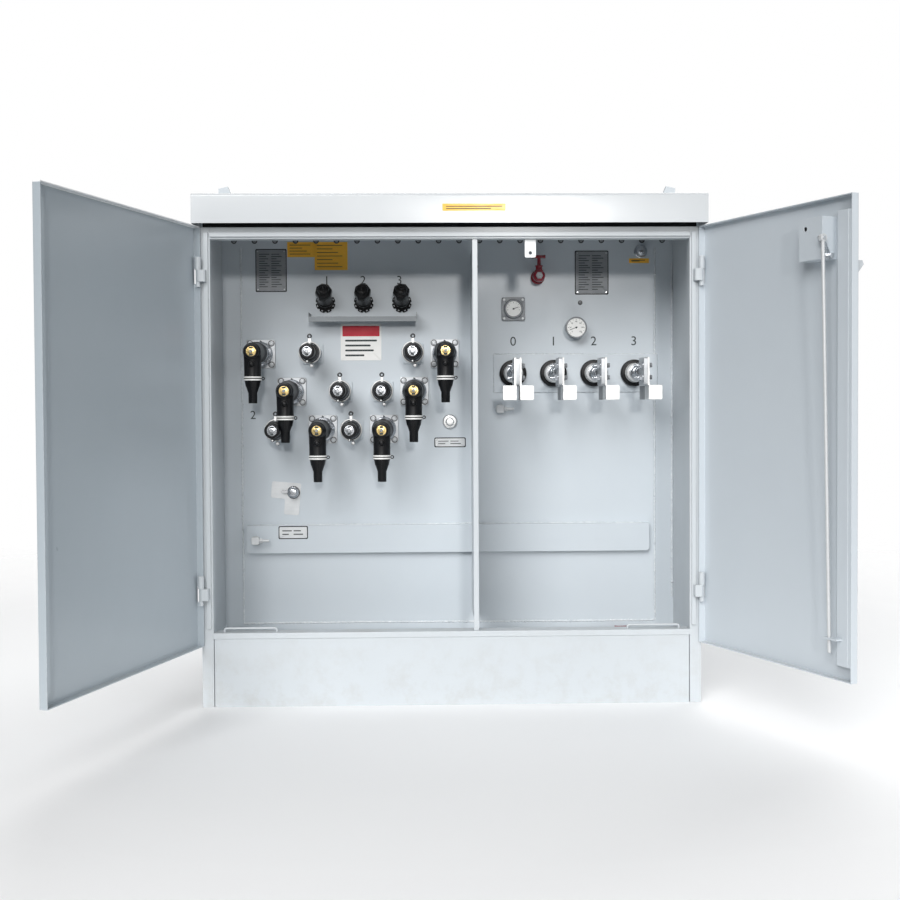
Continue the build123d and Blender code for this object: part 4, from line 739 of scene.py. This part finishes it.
parking = {
    "places": ((-0.154, 0), (0.233, 0), (-0.042, 1), (0.116, 1), (-0.284, 2), (-0.001, 2)),    # x, row
    "plate": 79, "plateThickness": 6, "plateCorner": 5,
    "foot": [(5, 35), (14, 35), (16, 32), (30, 31), (34, 28), (52, 28), (54, 30.5), (62, 30.5), (64, 28), (88, 28),
             (90, 30.5), (98, 30.5), (100, 28), (150, 28)],
    "cap": [(146, 31.5), (150, 33), (166, 33), (172, 30.5), (188, 30), (190, 27.4), (246, 27.0), (249, 28.4),
            (262, 28.4), (266, 26.6), (267, 21), (262, 20)],
    "disc": [(258, 19.4), (264.4, 19.2), (265.4, 17.6), (265.0, 12.0), (266.0, 11.0)],
    "nut": [(262, 7.2), (268.6, 7.2), (269.6, 6)],
    "slotOut": 264.9, "slotRise": 12.6,
    "lobe": [(226, 6.4), (244, 6.0), (248, 4), (249, 0)], "lobeDrop": 36,
    "tip": [(246, 4.2), (252, 4), (253.5, 2.5)],
    "clamp": [(-14, 7), (16, 7), (18, 5.4)],
    "ringOut": 146, "ringRadius": 39.5, "ringWire": 2.8, "linerRadius": 35.7, "linerWire": 1.8,
    "eye": (6.6, 3.0), "eyeRise": 61,
}


def makeParkingBushings():
    v = parking
    spots = np.array([onWall(hvMiddle + x, hvTop - row * hvRow) for x, row in v["places"]])
    lobes, middle = shifted(spots, 0, 0, -v["lobeDrop"]), shifted(spots, 0, v["ringOut"])
    plate = slab(v["plate"], v["plate"], v["plateCorner"], v["plateThickness"], spots, 1)
    makePiece("parkingPlates", [plate], "wallPaint", "parking_bushings")
    makePiece("parkingFeet", [turned(v["foot"], spots, (1.2, 3), sides=44)], "bushingSteel", "parking_bushings")
    caps = [turned(v["cap"], spots, (1.2, 3), sides=44), turned(v["lobe"], lobes, (1, 3), sides=16)]
    makePiece("parkingCaps", caps, "rubber", "parking_bushings")
    discs = [turned(v["disc"], spots, (0.5, 3), sides=36), turned(v["nut"], spots, sides=24, corners=6, turn=0.2)]
    makePiece("parkingDiscs", discs, "bushingSteel")
    slots = np.concatenate([shifted(spots, 0, v["slotOut"], z) for z in (-v["slotRise"], v["slotRise"])])
    makePiece("parkingDiscSlots", [slab(12, 6.5, 2, 1.3, slots, 0.3, 3)], "darkInk")
    rings = torus(middle, v["ringRadius"], v["ringWire"], 48)
    makePiece("parkingRings", [rings], "tinPlate", "parking_bushings", closedRows=True)
    liners = torus(middle, v["linerRadius"], v["linerWire"], 48, 10)
    # the eyes are dark steel, unlike the tin rings and stems: painted shade for the shadowed hole in each eye
    eyes = torus(shifted(middle, 0, 0, v["eyeRise"]), *v["eye"], 28)
    makePiece("parkingRingLiners", [liners, eyes], "darkSteel", closedRows=True)
    stems = slab(11, 22, 2.5, 4, shifted(middle, 0, -2, 45), 0.8, 3)
    clamps = turned(v["clamp"], shifted(middle, 8, 0, -50), (1, 3), sides=20)
    makePiece("parkingEyeStems", [stems, turned(v["tip"], lobes, (0.6, 3), sides=14), clamps], "tinPlate")


fuseHolder = {
    "pitch": 0.147, "tilt": 20, "height": 1.448,
    "ring": [(0, 38), (6, 38), (8, 34.5), (13, 34.5), (14, 30.5), (18, 30)], "notches": 8, "notchDepth": 0.13,
    "body": [(12, 29), (24, 28.6), (30, 26), (66, 25.4), (70, 27.5), (78, 27.5)],
    "cap": [(76, 30), (82, 32.4), (108, 32.4), (114, 30), (116, 25), (130, 22), (134, 17)],
    "eyeOut": 126, "eye": (9.0, 3.2),
    "screws": 8, "screwCircle": 32, "screwOut": 12, "screw": [(0, 3.6), (2.4, 3.2)],
}


def makeFuseHolders():
    v = fuseHolder
    middle = wallMiddle("fuse_holders")[0]
    spots = np.array([onWall(middle + k * v["pitch"], v["height"]) for k in (-1, 0, 1)])
    tilt = math.radians(v["tilt"])
    lean = np.array([0, -math.cos(tilt), math.sin(tilt)])
    angles = (np.arange(v["screws"]) + 0.5) * 2 * np.pi / v["screws"]
    screws = np.concatenate([
        shifted(spots, math.cos(a) * v["screwCircle"], v["screwOut"], math.sin(a) * v["screwCircle"]) for a in angles])
    makePiece("fuseHolderBodies", [
        turned(v["ring"], spots, (1, 3), sides=96, notches=v["notches"], depth=v["notchDepth"]),
        turned(v["body"], spots, (1.2, 3), lean), turned(v["cap"], spots, (2, 4), lean, 48, 8, 0.2),
    ], "resin", "fuse_holders")
    makePiece("fuseRingScrews", [turned(v["screw"], screws, sides=12)], "castGrey")
    eyes = torus(spots + lean * v["eyeOut"] * mm, *v["eye"], 28, axis=(1, 0, 0))
    makePiece("fuseCapEyes", [eyes], "resin", closedRows=True)


makeHvBushings()
makeElbows()
makeParkingBushings()
makeFuseHolders()
print("high-voltage side built")

# Low-voltage side: bushings, spades, terminal plates and their bolts
lowVoltage = {
    "disc": [(4, 50), (7, 52), (24, 52), (29, 49), (30, 38)], "discRadius": 0.052,
    "body": [(21, 36.5), (26, 37.5), (40, 37.5), (46, 36), (64, 35.5), (72, 33), (76, 28)],
    "ball": [(72, 27), (90, 27.4), (104, 25.5), (112, 22), (116, 20)],
    "hub": [(112, 18.5), (150, 18.5), (154, 21.5), (172, 21.5), (177, 18)],
    "clampRings": ((84, 29), (98, 28)),
    "spadeThickness": 13, "spadeLength": 118, "spadeHeight": 102,
    "boltPitch": 44.45, "boltRows": (219.55, 264), "plateThickness": 7,
    "backOut": 190, "backDepth": 170, "backThickness": 5, "backGap": 1,
}
lvLow, lvHigh = span("lv_bushings")
lvFirst = lvLow[0] + lowVoltage["discRadius"]
lvStep = (lvHigh[0] - lvLow[0] - 2 * lowVoltage["discRadius"]) / 3
lvHeight = (lvLow[2] + lvHigh[2]) / 2
lvSpots = np.array([onWall(lvFirst + k * lvStep, lvHeight) for k in range(4)])


def makeLvSide():
    v = lowVoltage
    half, length, tall, right = v["spadeThickness"] / 2, v["spadeLength"], v["spadeHeight"], (1, 0, 0)
    makePiece("lvDiscs", [turned(v["disc"], lvSpots, (1.5, 4), sides=56)], "rubber", "lv_bushings")
    makePiece("lvBodies", [turned(v["body"], lvSpots, (1.5, 4), sides=56)], "porcelain", "lv_bushings")
    rings = [turned([(a, r), (a + 6, r)], lvSpots, (1, 3), sides=48) for a, r in v["clampRings"]]
    balls = [turned(v["ball"], lvSpots, (3, 5), sides=48), turned(v["hub"], lvSpots, (1.2, 3)), *rings]
    makePiece("lvBalls", balls, "bushingSteel", "lv_spades")
    out = (wallY - span("lv_spades")[0][1]) / mm - length / 2
    spades = slab(length, tall, 9, 2 * half, shifted(lvSpots, -half, out), 1, 5, outward, right)
    makePiece("lvSpadeBlades", [spades], "zincPlate", "lv_spades", slot="tinned_copper")
    drop = (lvHeight - span("lv_terminal_plates")[0][2]) / mm - tall / 2
    gap = v["backGap"]
    places = shifted(lvSpots[1:], half + gap, v["backOut"], -(tall + drop) / 2 - gap)
    # the tab backs are tinned copper like the plates but take dark castGrey: painted shade for their shaded sides
    backs = slab(v["backDepth"], drop - 2 * gap, 3, v["backThickness"], places, 0.8, 5, outward, right)
    makePiece("lvTabBacks", [backs], "castGrey", slot="tinned_copper")
    pitch = v["boltPitch"] / 2
    bolts = np.concatenate([shifted(lvSpots, 0, y, z) for y in v["boltRows"] for z in (-pitch, pitch)])
    heads = washerAndNut(shifted(bolts, half + v["plateThickness"]), 9.5, 11.5, 12, axis=right)
    makePiece("lvBoltHeads", heads, "castGrey")
    makePiece("lvBoltNuts", washerAndNut(shifted(bolts, -half), 11, 13, 13, 12, (-1, 0, 0)), "bushingSteel")


dressNode("lv_terminal_plates", "tinPlate", 0.8, "tinned_copper")
makeLvSide()
print("low-voltage side built")

# Gauges, valves and knobs
gauges = {
    "levelSize": 90, "levelThickness": 12, "levelScrews": 72, "screw": [(0, 5), (2.6, 4.2)],
    "levelRim": [(10, 38), (16, 38), (24, 36.5), (27, 35), (27, 31), (22, 29.5)],
    "levelDial": [(18, 29.2), (22.6, 29.2)],
    "heatNeck": [(0, 18), (4, 18), (6, 15), (20, 15)],
    "heatCan": [(16, 34), (20, 38), (54, 38), (55, 41), (60, 41.4), (62, 40), (62, 36.6), (59, 35.8)],
    "heatDial": [(56, 35.4), (59.4, 35.4)],
    "levelMarks": (27, 9, 200, 20, 22.6),      # radius, ticks, sweep, needle's angle, out of the wall
    "heatMarks": (34, 13, 270, 200, 59.4),
    "numberCircle": 22.5, "numberSize": 0.0075, "numberOut": 59.7,
}


def rayBar(place, angle, reach, out, width, length, radius, steps, thickness, edge):
    # a flat bar along the ray (cos angle, sin angle), its middle at reach from the place
    ray = np.array([math.cos(angle), 0, math.sin(angle)])
    spot = shifted(place + ray * reach * mm, 0, out)
    return slab(width, length, radius, thickness, spot, edge, steps, np.cross(ray, outward))


def needleAndTicks(name, place, radius, count, sweep, needleAngle, out):
    # ticks stand along rays at even angles over the sweep, and the needle is one more ray
    surfaces = []
    for k in range(count):
        angle = math.radians(90 + sweep / 2 - k * sweep / (count - 1))
        size = 3.4 if k % 2 else 5.5
        surfaces.append(rayBar(place, angle, radius - 1 - size / 2, out, 1.1, size, 0.4, 2, 0.4, 0.1))
    needle = math.radians(needleAngle)
    surfaces.append(rayBar(place, needle, radius * 0.3, out + 0.5, 1.9, radius * 0.95, 0.7, 3, 0.6, 0.2))
    surfaces.append(turned([(out, 3.6), (out + 1.6, 3.0)], place, sides=16))
    makePiece(name, surfaces, "darkInk")


def makeGauges():
    v = gauges
    level, heat = wallMiddle("level_gauge"), wallMiddle("temperature_gauge")
    size, thick, half = v["levelSize"], v["levelThickness"], v["levelScrews"] / 2
    case = [slab(size, size, 6, thick, level, 1.2), turned(v["levelRim"], level, (1, 3), sides=56)]
    makePiece("levelGaugeCase", case, "castGrey", "level_gauge")
    screws = turned(v["screw"], fourCorners(level, half, half, thick), sides=18)
    makePiece("levelGaugeScrews", [screws], "satinPlate")
    makePiece("levelGaugeDial", [turned(v["levelDial"], level, sides=48)], "paleFilm")
    needleAndTicks("levelGaugeMarks", level, *v["levelMarks"])
    case = [turned(v["heatNeck"], heat, (1, 3), sides=32), turned(v["heatCan"], heat, (1.2, 3), sides=56)]
    makePiece("temperatureGaugeCase", case, "castGrey", "temperature_gauge")
    makePiece("temperatureGaugeDial", [turned(v["heatDial"], heat, sides=48)], "paleFilm")
    needleAndTicks("temperatureGaugeMarks", heat, *v["heatMarks"])
    numbers, circle = [], v["numberCircle"]
    for k in range(7):
        angle = math.radians(225 - k * 45)
        spot = shifted(heat, math.cos(angle) * circle, v["numberOut"], math.sin(angle) * circle)
        numbers.append((str(20 * k), spot, v["numberSize"]))
    markText("temperatureGaugeNumbers", numbers)


knobs = {
    "collar": [(0, 28), (8, 28), (12, 24)], "cap": [(10, 17.5), (24, 17), (28, 13.5)],
    "dome": [(0, 26), (5, 26), (6, 22), (22, 22), (30, 17), (36, 8)], "domePin": [(34, 5), (44, 5)],
    "grip": [(10.9, 22), (14, 22.5), (18, 22), (19, 18.5), (34, 17.5), (38, 14)], "seat": [(8, 24.5), (10.2, 24.5)],
    "pointer": (30, 11, 3, 4),      # length, height, corner, thickness
}


def makeKnobs():
    v = knobs
    place = wallMiddle("selector_knob")
    selector = [turned(v["collar"], place, (1.5, 4), sides=44), turned(v["cap"], place, (1.5, 4), sides=48, corners=8)]
    makePiece("selectorCollar", selector, "tinPlate", "selector_knob")
    place = wallMiddle("relief_valve")
    dome = [turned(v["dome"], place, (3, 5), sides=36), turned(v["domePin"], place)]
    makePiece("reliefValveDome", dome, "bushingSteel", "relief_valve")
    ring = torus(shifted(place, 0, 46, -6), 9, 1.4, 28, 10)
    makePiece("reliefValvePull", [ring], "bushingSteel", closedRows=True)
    place = jointPlace("tap_changer")
    place[1] = wallY
    makePiece("tapKnobGrip", [turned(v["grip"], place, (1.2, 3))], "bushingSteel", "tap_knob", "tap_pointer")
    pointer = slab(*v["pointer"], shifted(place, -31, 10.6, 3), 0.8)
    makePiece("tapPointerBlade", [pointer], "platedSteel", "tap_knob", "tap_pointer")
    makePiece("tapKnobSeat", [turned(v["seat"], place, (0.8, 3))], "rubber")


valve = {
    "flange": [(0, 27), (6, 27), (8, 24)], "flangeRadius": 0.027, "nipple": [(6, 14), (50, 14)], "bodyRadius": 24,
    "bonnet": [(0, 18), (20, 17), (24, 13), (34, 12.5), (36, 15), (40, 15)],
    "plugRing": [(64, 20), (68, 21.5), (76, 21), (79, 18)],
    "plug": [(76, 14), (86, 14), (88, 12)], "square": [(86, 7), (91, 6.5)],
    "stem": [(0, 7), (30, 7), (31, 9), (37, 9), (38, 6)], "barDrop": 0.0065,
}


def makeValve(node):
    v, handle, up, count = valve, node + "_handle", (0, 0, 1), 16
    axis = jointPlace(node + "_stem")
    place = onWall(axis[0], span(node)[0][2] + v["flangeRadius"])
    middle = np.array([axis[0], axis[1], place[2]])
    t = np.linspace(0, np.pi, 20)
    ball = np.stack([-v["bodyRadius"] * np.cos(t), v["bodyRadius"] * 1.02 * np.sin(t)], axis=1)
    surfaces = [turned(v[k], place, (1, 3), sides=36) for k in ("flange", "nipple", "plugRing")]
    surfaces += [turned(ball, middle, None, up, 36), turned(v["bonnet"], middle, (1.4, 3), up, 30)]
    makePiece(node + "Body", surfaces, "redPaint", node)
    plug = [turned(v["plug"], place, sides=24, corners=6), turned(v["square"], place, sides=24, corners=4, turn=0.4)]
    makePiece(node + "Plug", plug, "castGrey")
    low, high = span(handle)
    bar = np.linspace(low[0] + 0.001, high[0] - 0.001, count)
    path = np.stack([bar, np.full(count, (low[1] + high[1]) / 2), np.full(count, high[2] - v["barDrop"])], axis=1)
    swell = 6.4 + 1.4 * np.abs(np.linspace(-1, 1, count)) ** 3
    stem = turned(v["stem"], (axis[0], axis[1], low[2]), (1, 3), up, 24)
    makePiece(handle + "Tee", [stem, pipe(path, swell * mm * 0.94, 16, up)], "redPaint", handle, node + "_tee")


groundConnector = {
    "boss": [(0, 15), (20, 15), (22, 18), (30, 18), (32, 15.5), (39, 15.5)], "stud": [(14, 6), (52, 6), (53, 5)],
    "nut": [(17, 10), (27, 10), (28, 8.6)], "pad": (30, 30, 5, 15),    # width, height, corner, thickness
}


def makeGroundConnectors():
    v, right = groundConnector, (1, 0, 0)
    low, high = span("ground_connectors")
    spots = np.array([onWall(high[0] - 0.052, high[2] - 0.017), onWall(low[0] + 0.017, low[2] + 0.017, 30)])
    middle = shifted(spots, 0, 34.5)
    makePiece("groundStuds", [
        turned(v["boss"], spots, (1, 3), sides=32), turned(v["stud"], middle, None, right, 16),
        turned(v["nut"], middle, None, right, 24, 6), slab(*v["pad"], shifted(spots, 0, 28), 1.4),
    ], "satinPlate", "ground_connectors")


makeGauges()
makeKnobs()
dressNode("tap_plate", "satinPlate", 0.4)
makeValve("fill_valve")
makeValve("drain_valve")
makeGroundConnectors()
dressNode("latch_crank", "platedSteel", 0.5)
dressNode("latch_rod", "satinPlate", 0)
print("gauges, valves and latch built")

# Plates, stickers and marks on the wall, all without words
plates = {
    "plateThickness": 1.2, "screw": [(0, 2.6), (1.4, 2.0)], "screwInset": 6,
    # name, x and z of the middle, width and height, out of the wall, rows of lines, metal
    "metal": (("hvNameplate", -0.6835, 1.574, 113, 158, 0, 15, "platePressed"),
              ("lvNameplate", 0.555, 1.5625, 124, 163, 0, 15, "platePressed"),
              ("selectorLabel", 0.0025, 0.9075, 115, 31, 0, 2, "satinPlate"),
              ("barLabel", -0.604, 0.5645, 106, 43, 30, 2, "satinPlate")),
    "metalShares": ((-1, (0.9, 0.62, 0.8, 0.5, 0.74)), (1, (0.7, 0.9, 0.46, 0.82))),
    "yellow": (("upperSticker", -0.5675, 1.654, 107, 58), ("sideSticker", -0.4525, 1.629, 127, 108),
               ("reliefSticker", 0.739, 1.608, 78, 18)),
    "sign": (-0.3395, 1.297, 157, 141),
    "hoodLabel": (0.080, 1.7315, 218, 25),
}


def ruleLines(place, width, rows, gap, thickness, out, shares):
    # short dark bars in rows: row k is shares[k] of the width, set to the left edge
    surfaces = []
    for k in range(rows):
        length = width * shares[k % len(shares)]
        spot = shifted(place, (length - width) / 2, out, -k * gap)
        surfaces.append(slab(length, thickness, thickness * 0.3, 0.3, spot, 0.08, 2))
    return surfaces


def makePlates():
    v = plates
    thick, inset = v["plateThickness"], v["screwInset"]
    ink, screws, backs = [], [], []
    for name, x, z, width, height, out, rows, metal in v["metal"]:
        place = onWall(x, z, out)
        # a dark slab a little larger than each plate, behind it: painted shade outline around the plate's edge
        backs.append(slab(width + 7, height + 7, 5, thick * 0.5, place, 0.2))
        makePiece(name, [slab(width, height, 4, thick, place, 0.4)], metal)
        gap = (height - 24) / rows if rows > 2 else height / 3.2
        column = (width - 24) / 2
        for side, shares in v["metalShares"]:
            top = shifted(place, side * (column / 2 + 1), 0, (rows - 1) * gap / 2)
            ink += ruleLines(top, column, rows, gap, gap * 0.3, thick, shares)
        screws.append(fourCorners(place, width / 2 - inset, height / 2 - inset, thick))
    for name, x, z, width, height in v["yellow"]:
        place = onWall(x, z)
        makePiece(name, [slab(width, height, 2, 0.5, place, 0.15)], "yellowFilm")
        rows = max(2, int(height // 14))
        gap = (height - 12) / rows
        top = shifted(place, 0, 0, (rows - 1) * gap / 2)
        ink += ruleLines(top, width - 18, rows, gap, 2.4, 0.5, (0.9, 0.55, 0.75))
    x, z, width, height = v["sign"]
    place = onWall(x, z)
    makePiece("plainSign", [slab(width, height, 3, 0.9, place, 0.3)], "paleFilm")
    band = slab(width - 14, 40, 3, 0.4, shifted(place, 0, 0.9, height / 2 - 28), 0.1)
    makePiece("plainSignBand", [band], "redFilm")
    ink += ruleLines(shifted(place, 0, 0, 6), width - 34, 4, 19, 7, 0.9, (1, 0.8, 0.9, 0.6))
    x, z, width, height = v["hoodLabel"]
    place = np.array([x, span("hood")[0][1] + 0.0003, z])
    makePiece("hoodLabel", [slab(width, height, 2, 0.5, place, 0.15)], "yellowFilm")
    ink += ruleLines(shifted(place, 0, 0, 3), width - 24, 2, 8, 2.6, 0.5, (1, 0.8))
    makePiece("plateLines", ink, "darkInk")
    makePiece("plateShadeOutlines", backs, "rubber")
    makePiece("plateScrews", [turned(v["screw"], np.concatenate(screws), sides=14)], "platedSteel")


makePlates()
markText("wallNumbers", (
    [(str(k + 1), onWall(-0.470 + k * 0.140, 1.534), 0.046) for k in range(3)]
    + [(str(k), onWall(lvFirst + k * lvStep + 0.002, 1.296), 0.05) for k in range(4)]
    + [("2", onWall(-0.758, 1.016), 0.046)]))
print("plates and numbers laid")

# Welds, bolts and studs
fasteners = {
    "flangeBolts": {"z": 1.687, "first": -0.825, "last": 0.829, "count": 22},
    "barrierBolts": (1.501, 0.699, 0.347),
    "weldX": 0.800, "weldTop": 1.66, "weldBottom": 0.2095,
    "studX": -0.800, "studs": (0.42, 0.66, 0.9), "stud": [(0, 4), (7, 4), (8, 3)],
}


def weldBead(startX, startZ, endX, endZ, radius, seed):
    # a straight pipe whose radius swells along its length as sin does and wanders by a seeded random walk
    rng = np.random.default_rng(seed)
    start, end = onWall(startX, startZ), onWall(endX, endZ)
    length = np.linalg.norm(end - start)
    count = int(length / 0.0045) + 2
    t = np.linspace(0, 1, count)[:, None]
    wander = np.cumsum(rng.normal(0, 0.00012, (count, 1)), axis=0)
    wander -= t * wander[-1]
    side = np.cross((end - start) / length, outward)
    swell = radius * (1 + 0.3 * np.sin(np.arange(count) * 2.1) + rng.normal(0, 0.14, count))
    return pipe(start * (1 - t) + end * t + side * wander, np.maximum(swell, radius * 0.4) * mm, 8, outward)


def makeFasteners():
    v = fasteners
    row = v["flangeBolts"]
    spots = np.array([onWall(x, row["z"]) for x in np.linspace(row["first"], row["last"], row["count"])])
    washers, *bolts = washerAndNut(spots, 7.6, 11, 7, 3)
    # the washers are painted grey like the bolts but take near-black darkSteel: painted shade ring around each bolt
    makePiece("flangeBoltWashers", [washers], "darkSteel", slot="grey_paint")
    makePiece("flangeBolts", bolts, "castGrey", slot="grey_paint")
    edge = span("barrier")[1][0]
    flange = np.array([onWall(edge - 0.008, z, 3) for z in v["barrierBolts"]])
    makePiece("barrierBolts", washerAndNut(flange, 6.5, 8.5, 5), "platedSteel")
    screws = np.array([onWall(edge + 0.004, 1.586), onWall(0.510, 1.446)])
    makePiece("wallScrews", washerAndNut(screws, 7, 9, 6), "darkSteel")
    x, bottom, top = v["weldX"], v["weldBottom"], v["weldTop"]
    # the bead at x 0.866 stands for a bright edge line beside the right post: a painted highlight
    beads = [(-x, bottom, -x, top, 3.6, 3), (x, bottom, x, top, 3.6, 4), (-x, bottom, x, bottom, 3.6, 5),
             (0.866, 0.3, 0.866, 1.6, 3.4, 11)]
    (a, _, c), (b, _, d) = span("lv_plate")
    beads += [(a, d, a + (b - a) * 0.55, d, 4.6, 12), (a, d, b, d, 2.8, 6), (a, c, b, c, 2.4, 7),
              (a, c, a, d, 2.6, 8), (b, c, b, d, 2.6, 9)]
    low, high = span("channel_bar")
    beads.append((low[0] + 0.02, high[2], high[0] - 0.02, high[2], 3.0, 10))
    makePiece("weldBeads", [weldBead(*bead) for bead in beads], "weldHighlightPaint", smoothAngle=60)
    studs = np.array([onWall(v["studX"], z) for z in v["studs"]])
    makePiece("wallStuds", [turned(v["stud"], studs, sides=12)], "weldHighlightPaint")


hoodTrim = {
    "gapShade": {"out": 0.935, "z": 1.68025, "size": (1720, 15.5), "corner": 4, "depth": 18},
    "ends": {"x": 0.8385, "out": 0.449, "z": 1.741, "size": (97, 74), "corner": 3, "thickness": 1.5},
}


def makeHoodTrim():
    # a black strip along the hood's lower edge, painted shade for the dark gap between hood and head beam, and the
    # sheets that close its ends against the tank
    v = hoodTrim["gapShade"]
    place = (wallMiddle("hood")[0], -v["out"], v["z"])
    makePiece("hoodGapShadeStrip", [slab(*v["size"], v["corner"], v["depth"], place, 2)], "rubber")
    v = hoodTrim["ends"]
    places = [(side * v["x"], -v["out"], v["z"]) for side in (-1, 1)]
    makePiece("hoodEnds", [slab(*v["size"], v["corner"], v["thickness"], places, 0.4)], "cabinetPaint")


makeHoodTrim()
makeFasteners()
print("welds and fasteners laid")

# Floor: pale and plain, fading into the backdrop away from the object
floorLook = {"size": 24, "color": (0.95, 0.952, 0.955), "stain": (0.82, 0.83, 0.84), "fadeStart": 2.6, "fadeEnd": 5.5}


def makeFloor():
    v = floorLook
    mesh = bpy.data.meshes.new("floor")
    s = v["size"] / 2
    mesh.from_pydata([(-s, -s, 0), (s, -s, 0), (s, s, 0), (-s, s, 0)], [], [(0, 1, 2, 3)])
    material, n, shader, place = startMaterial("floorPaint", Roughness=0.7)
    n.link(n.mix(n.range(n.noise(place, 3.0), 0.3, 0.7, 0.0, 0.06), v["color"], v["stain"]), shader["Base Color"])
    fade = n.range(n.vector("LENGTH", place)["Value"], v["fadeStart"], v["fadeEnd"])
    nodes = material.node_tree.nodes
    surface = n.add("MixShader", {0: fade, 1: nodes["Principled BSDF"].outputs[0], 2: n.add("BsdfTransparent")[0]})
    n.link(surface[0], nodes["Material Output"].inputs["Surface"])
    mesh.materials.append(material)
    stand("floor", mesh)


makeFloor()

bpy.context.view_layer.update()
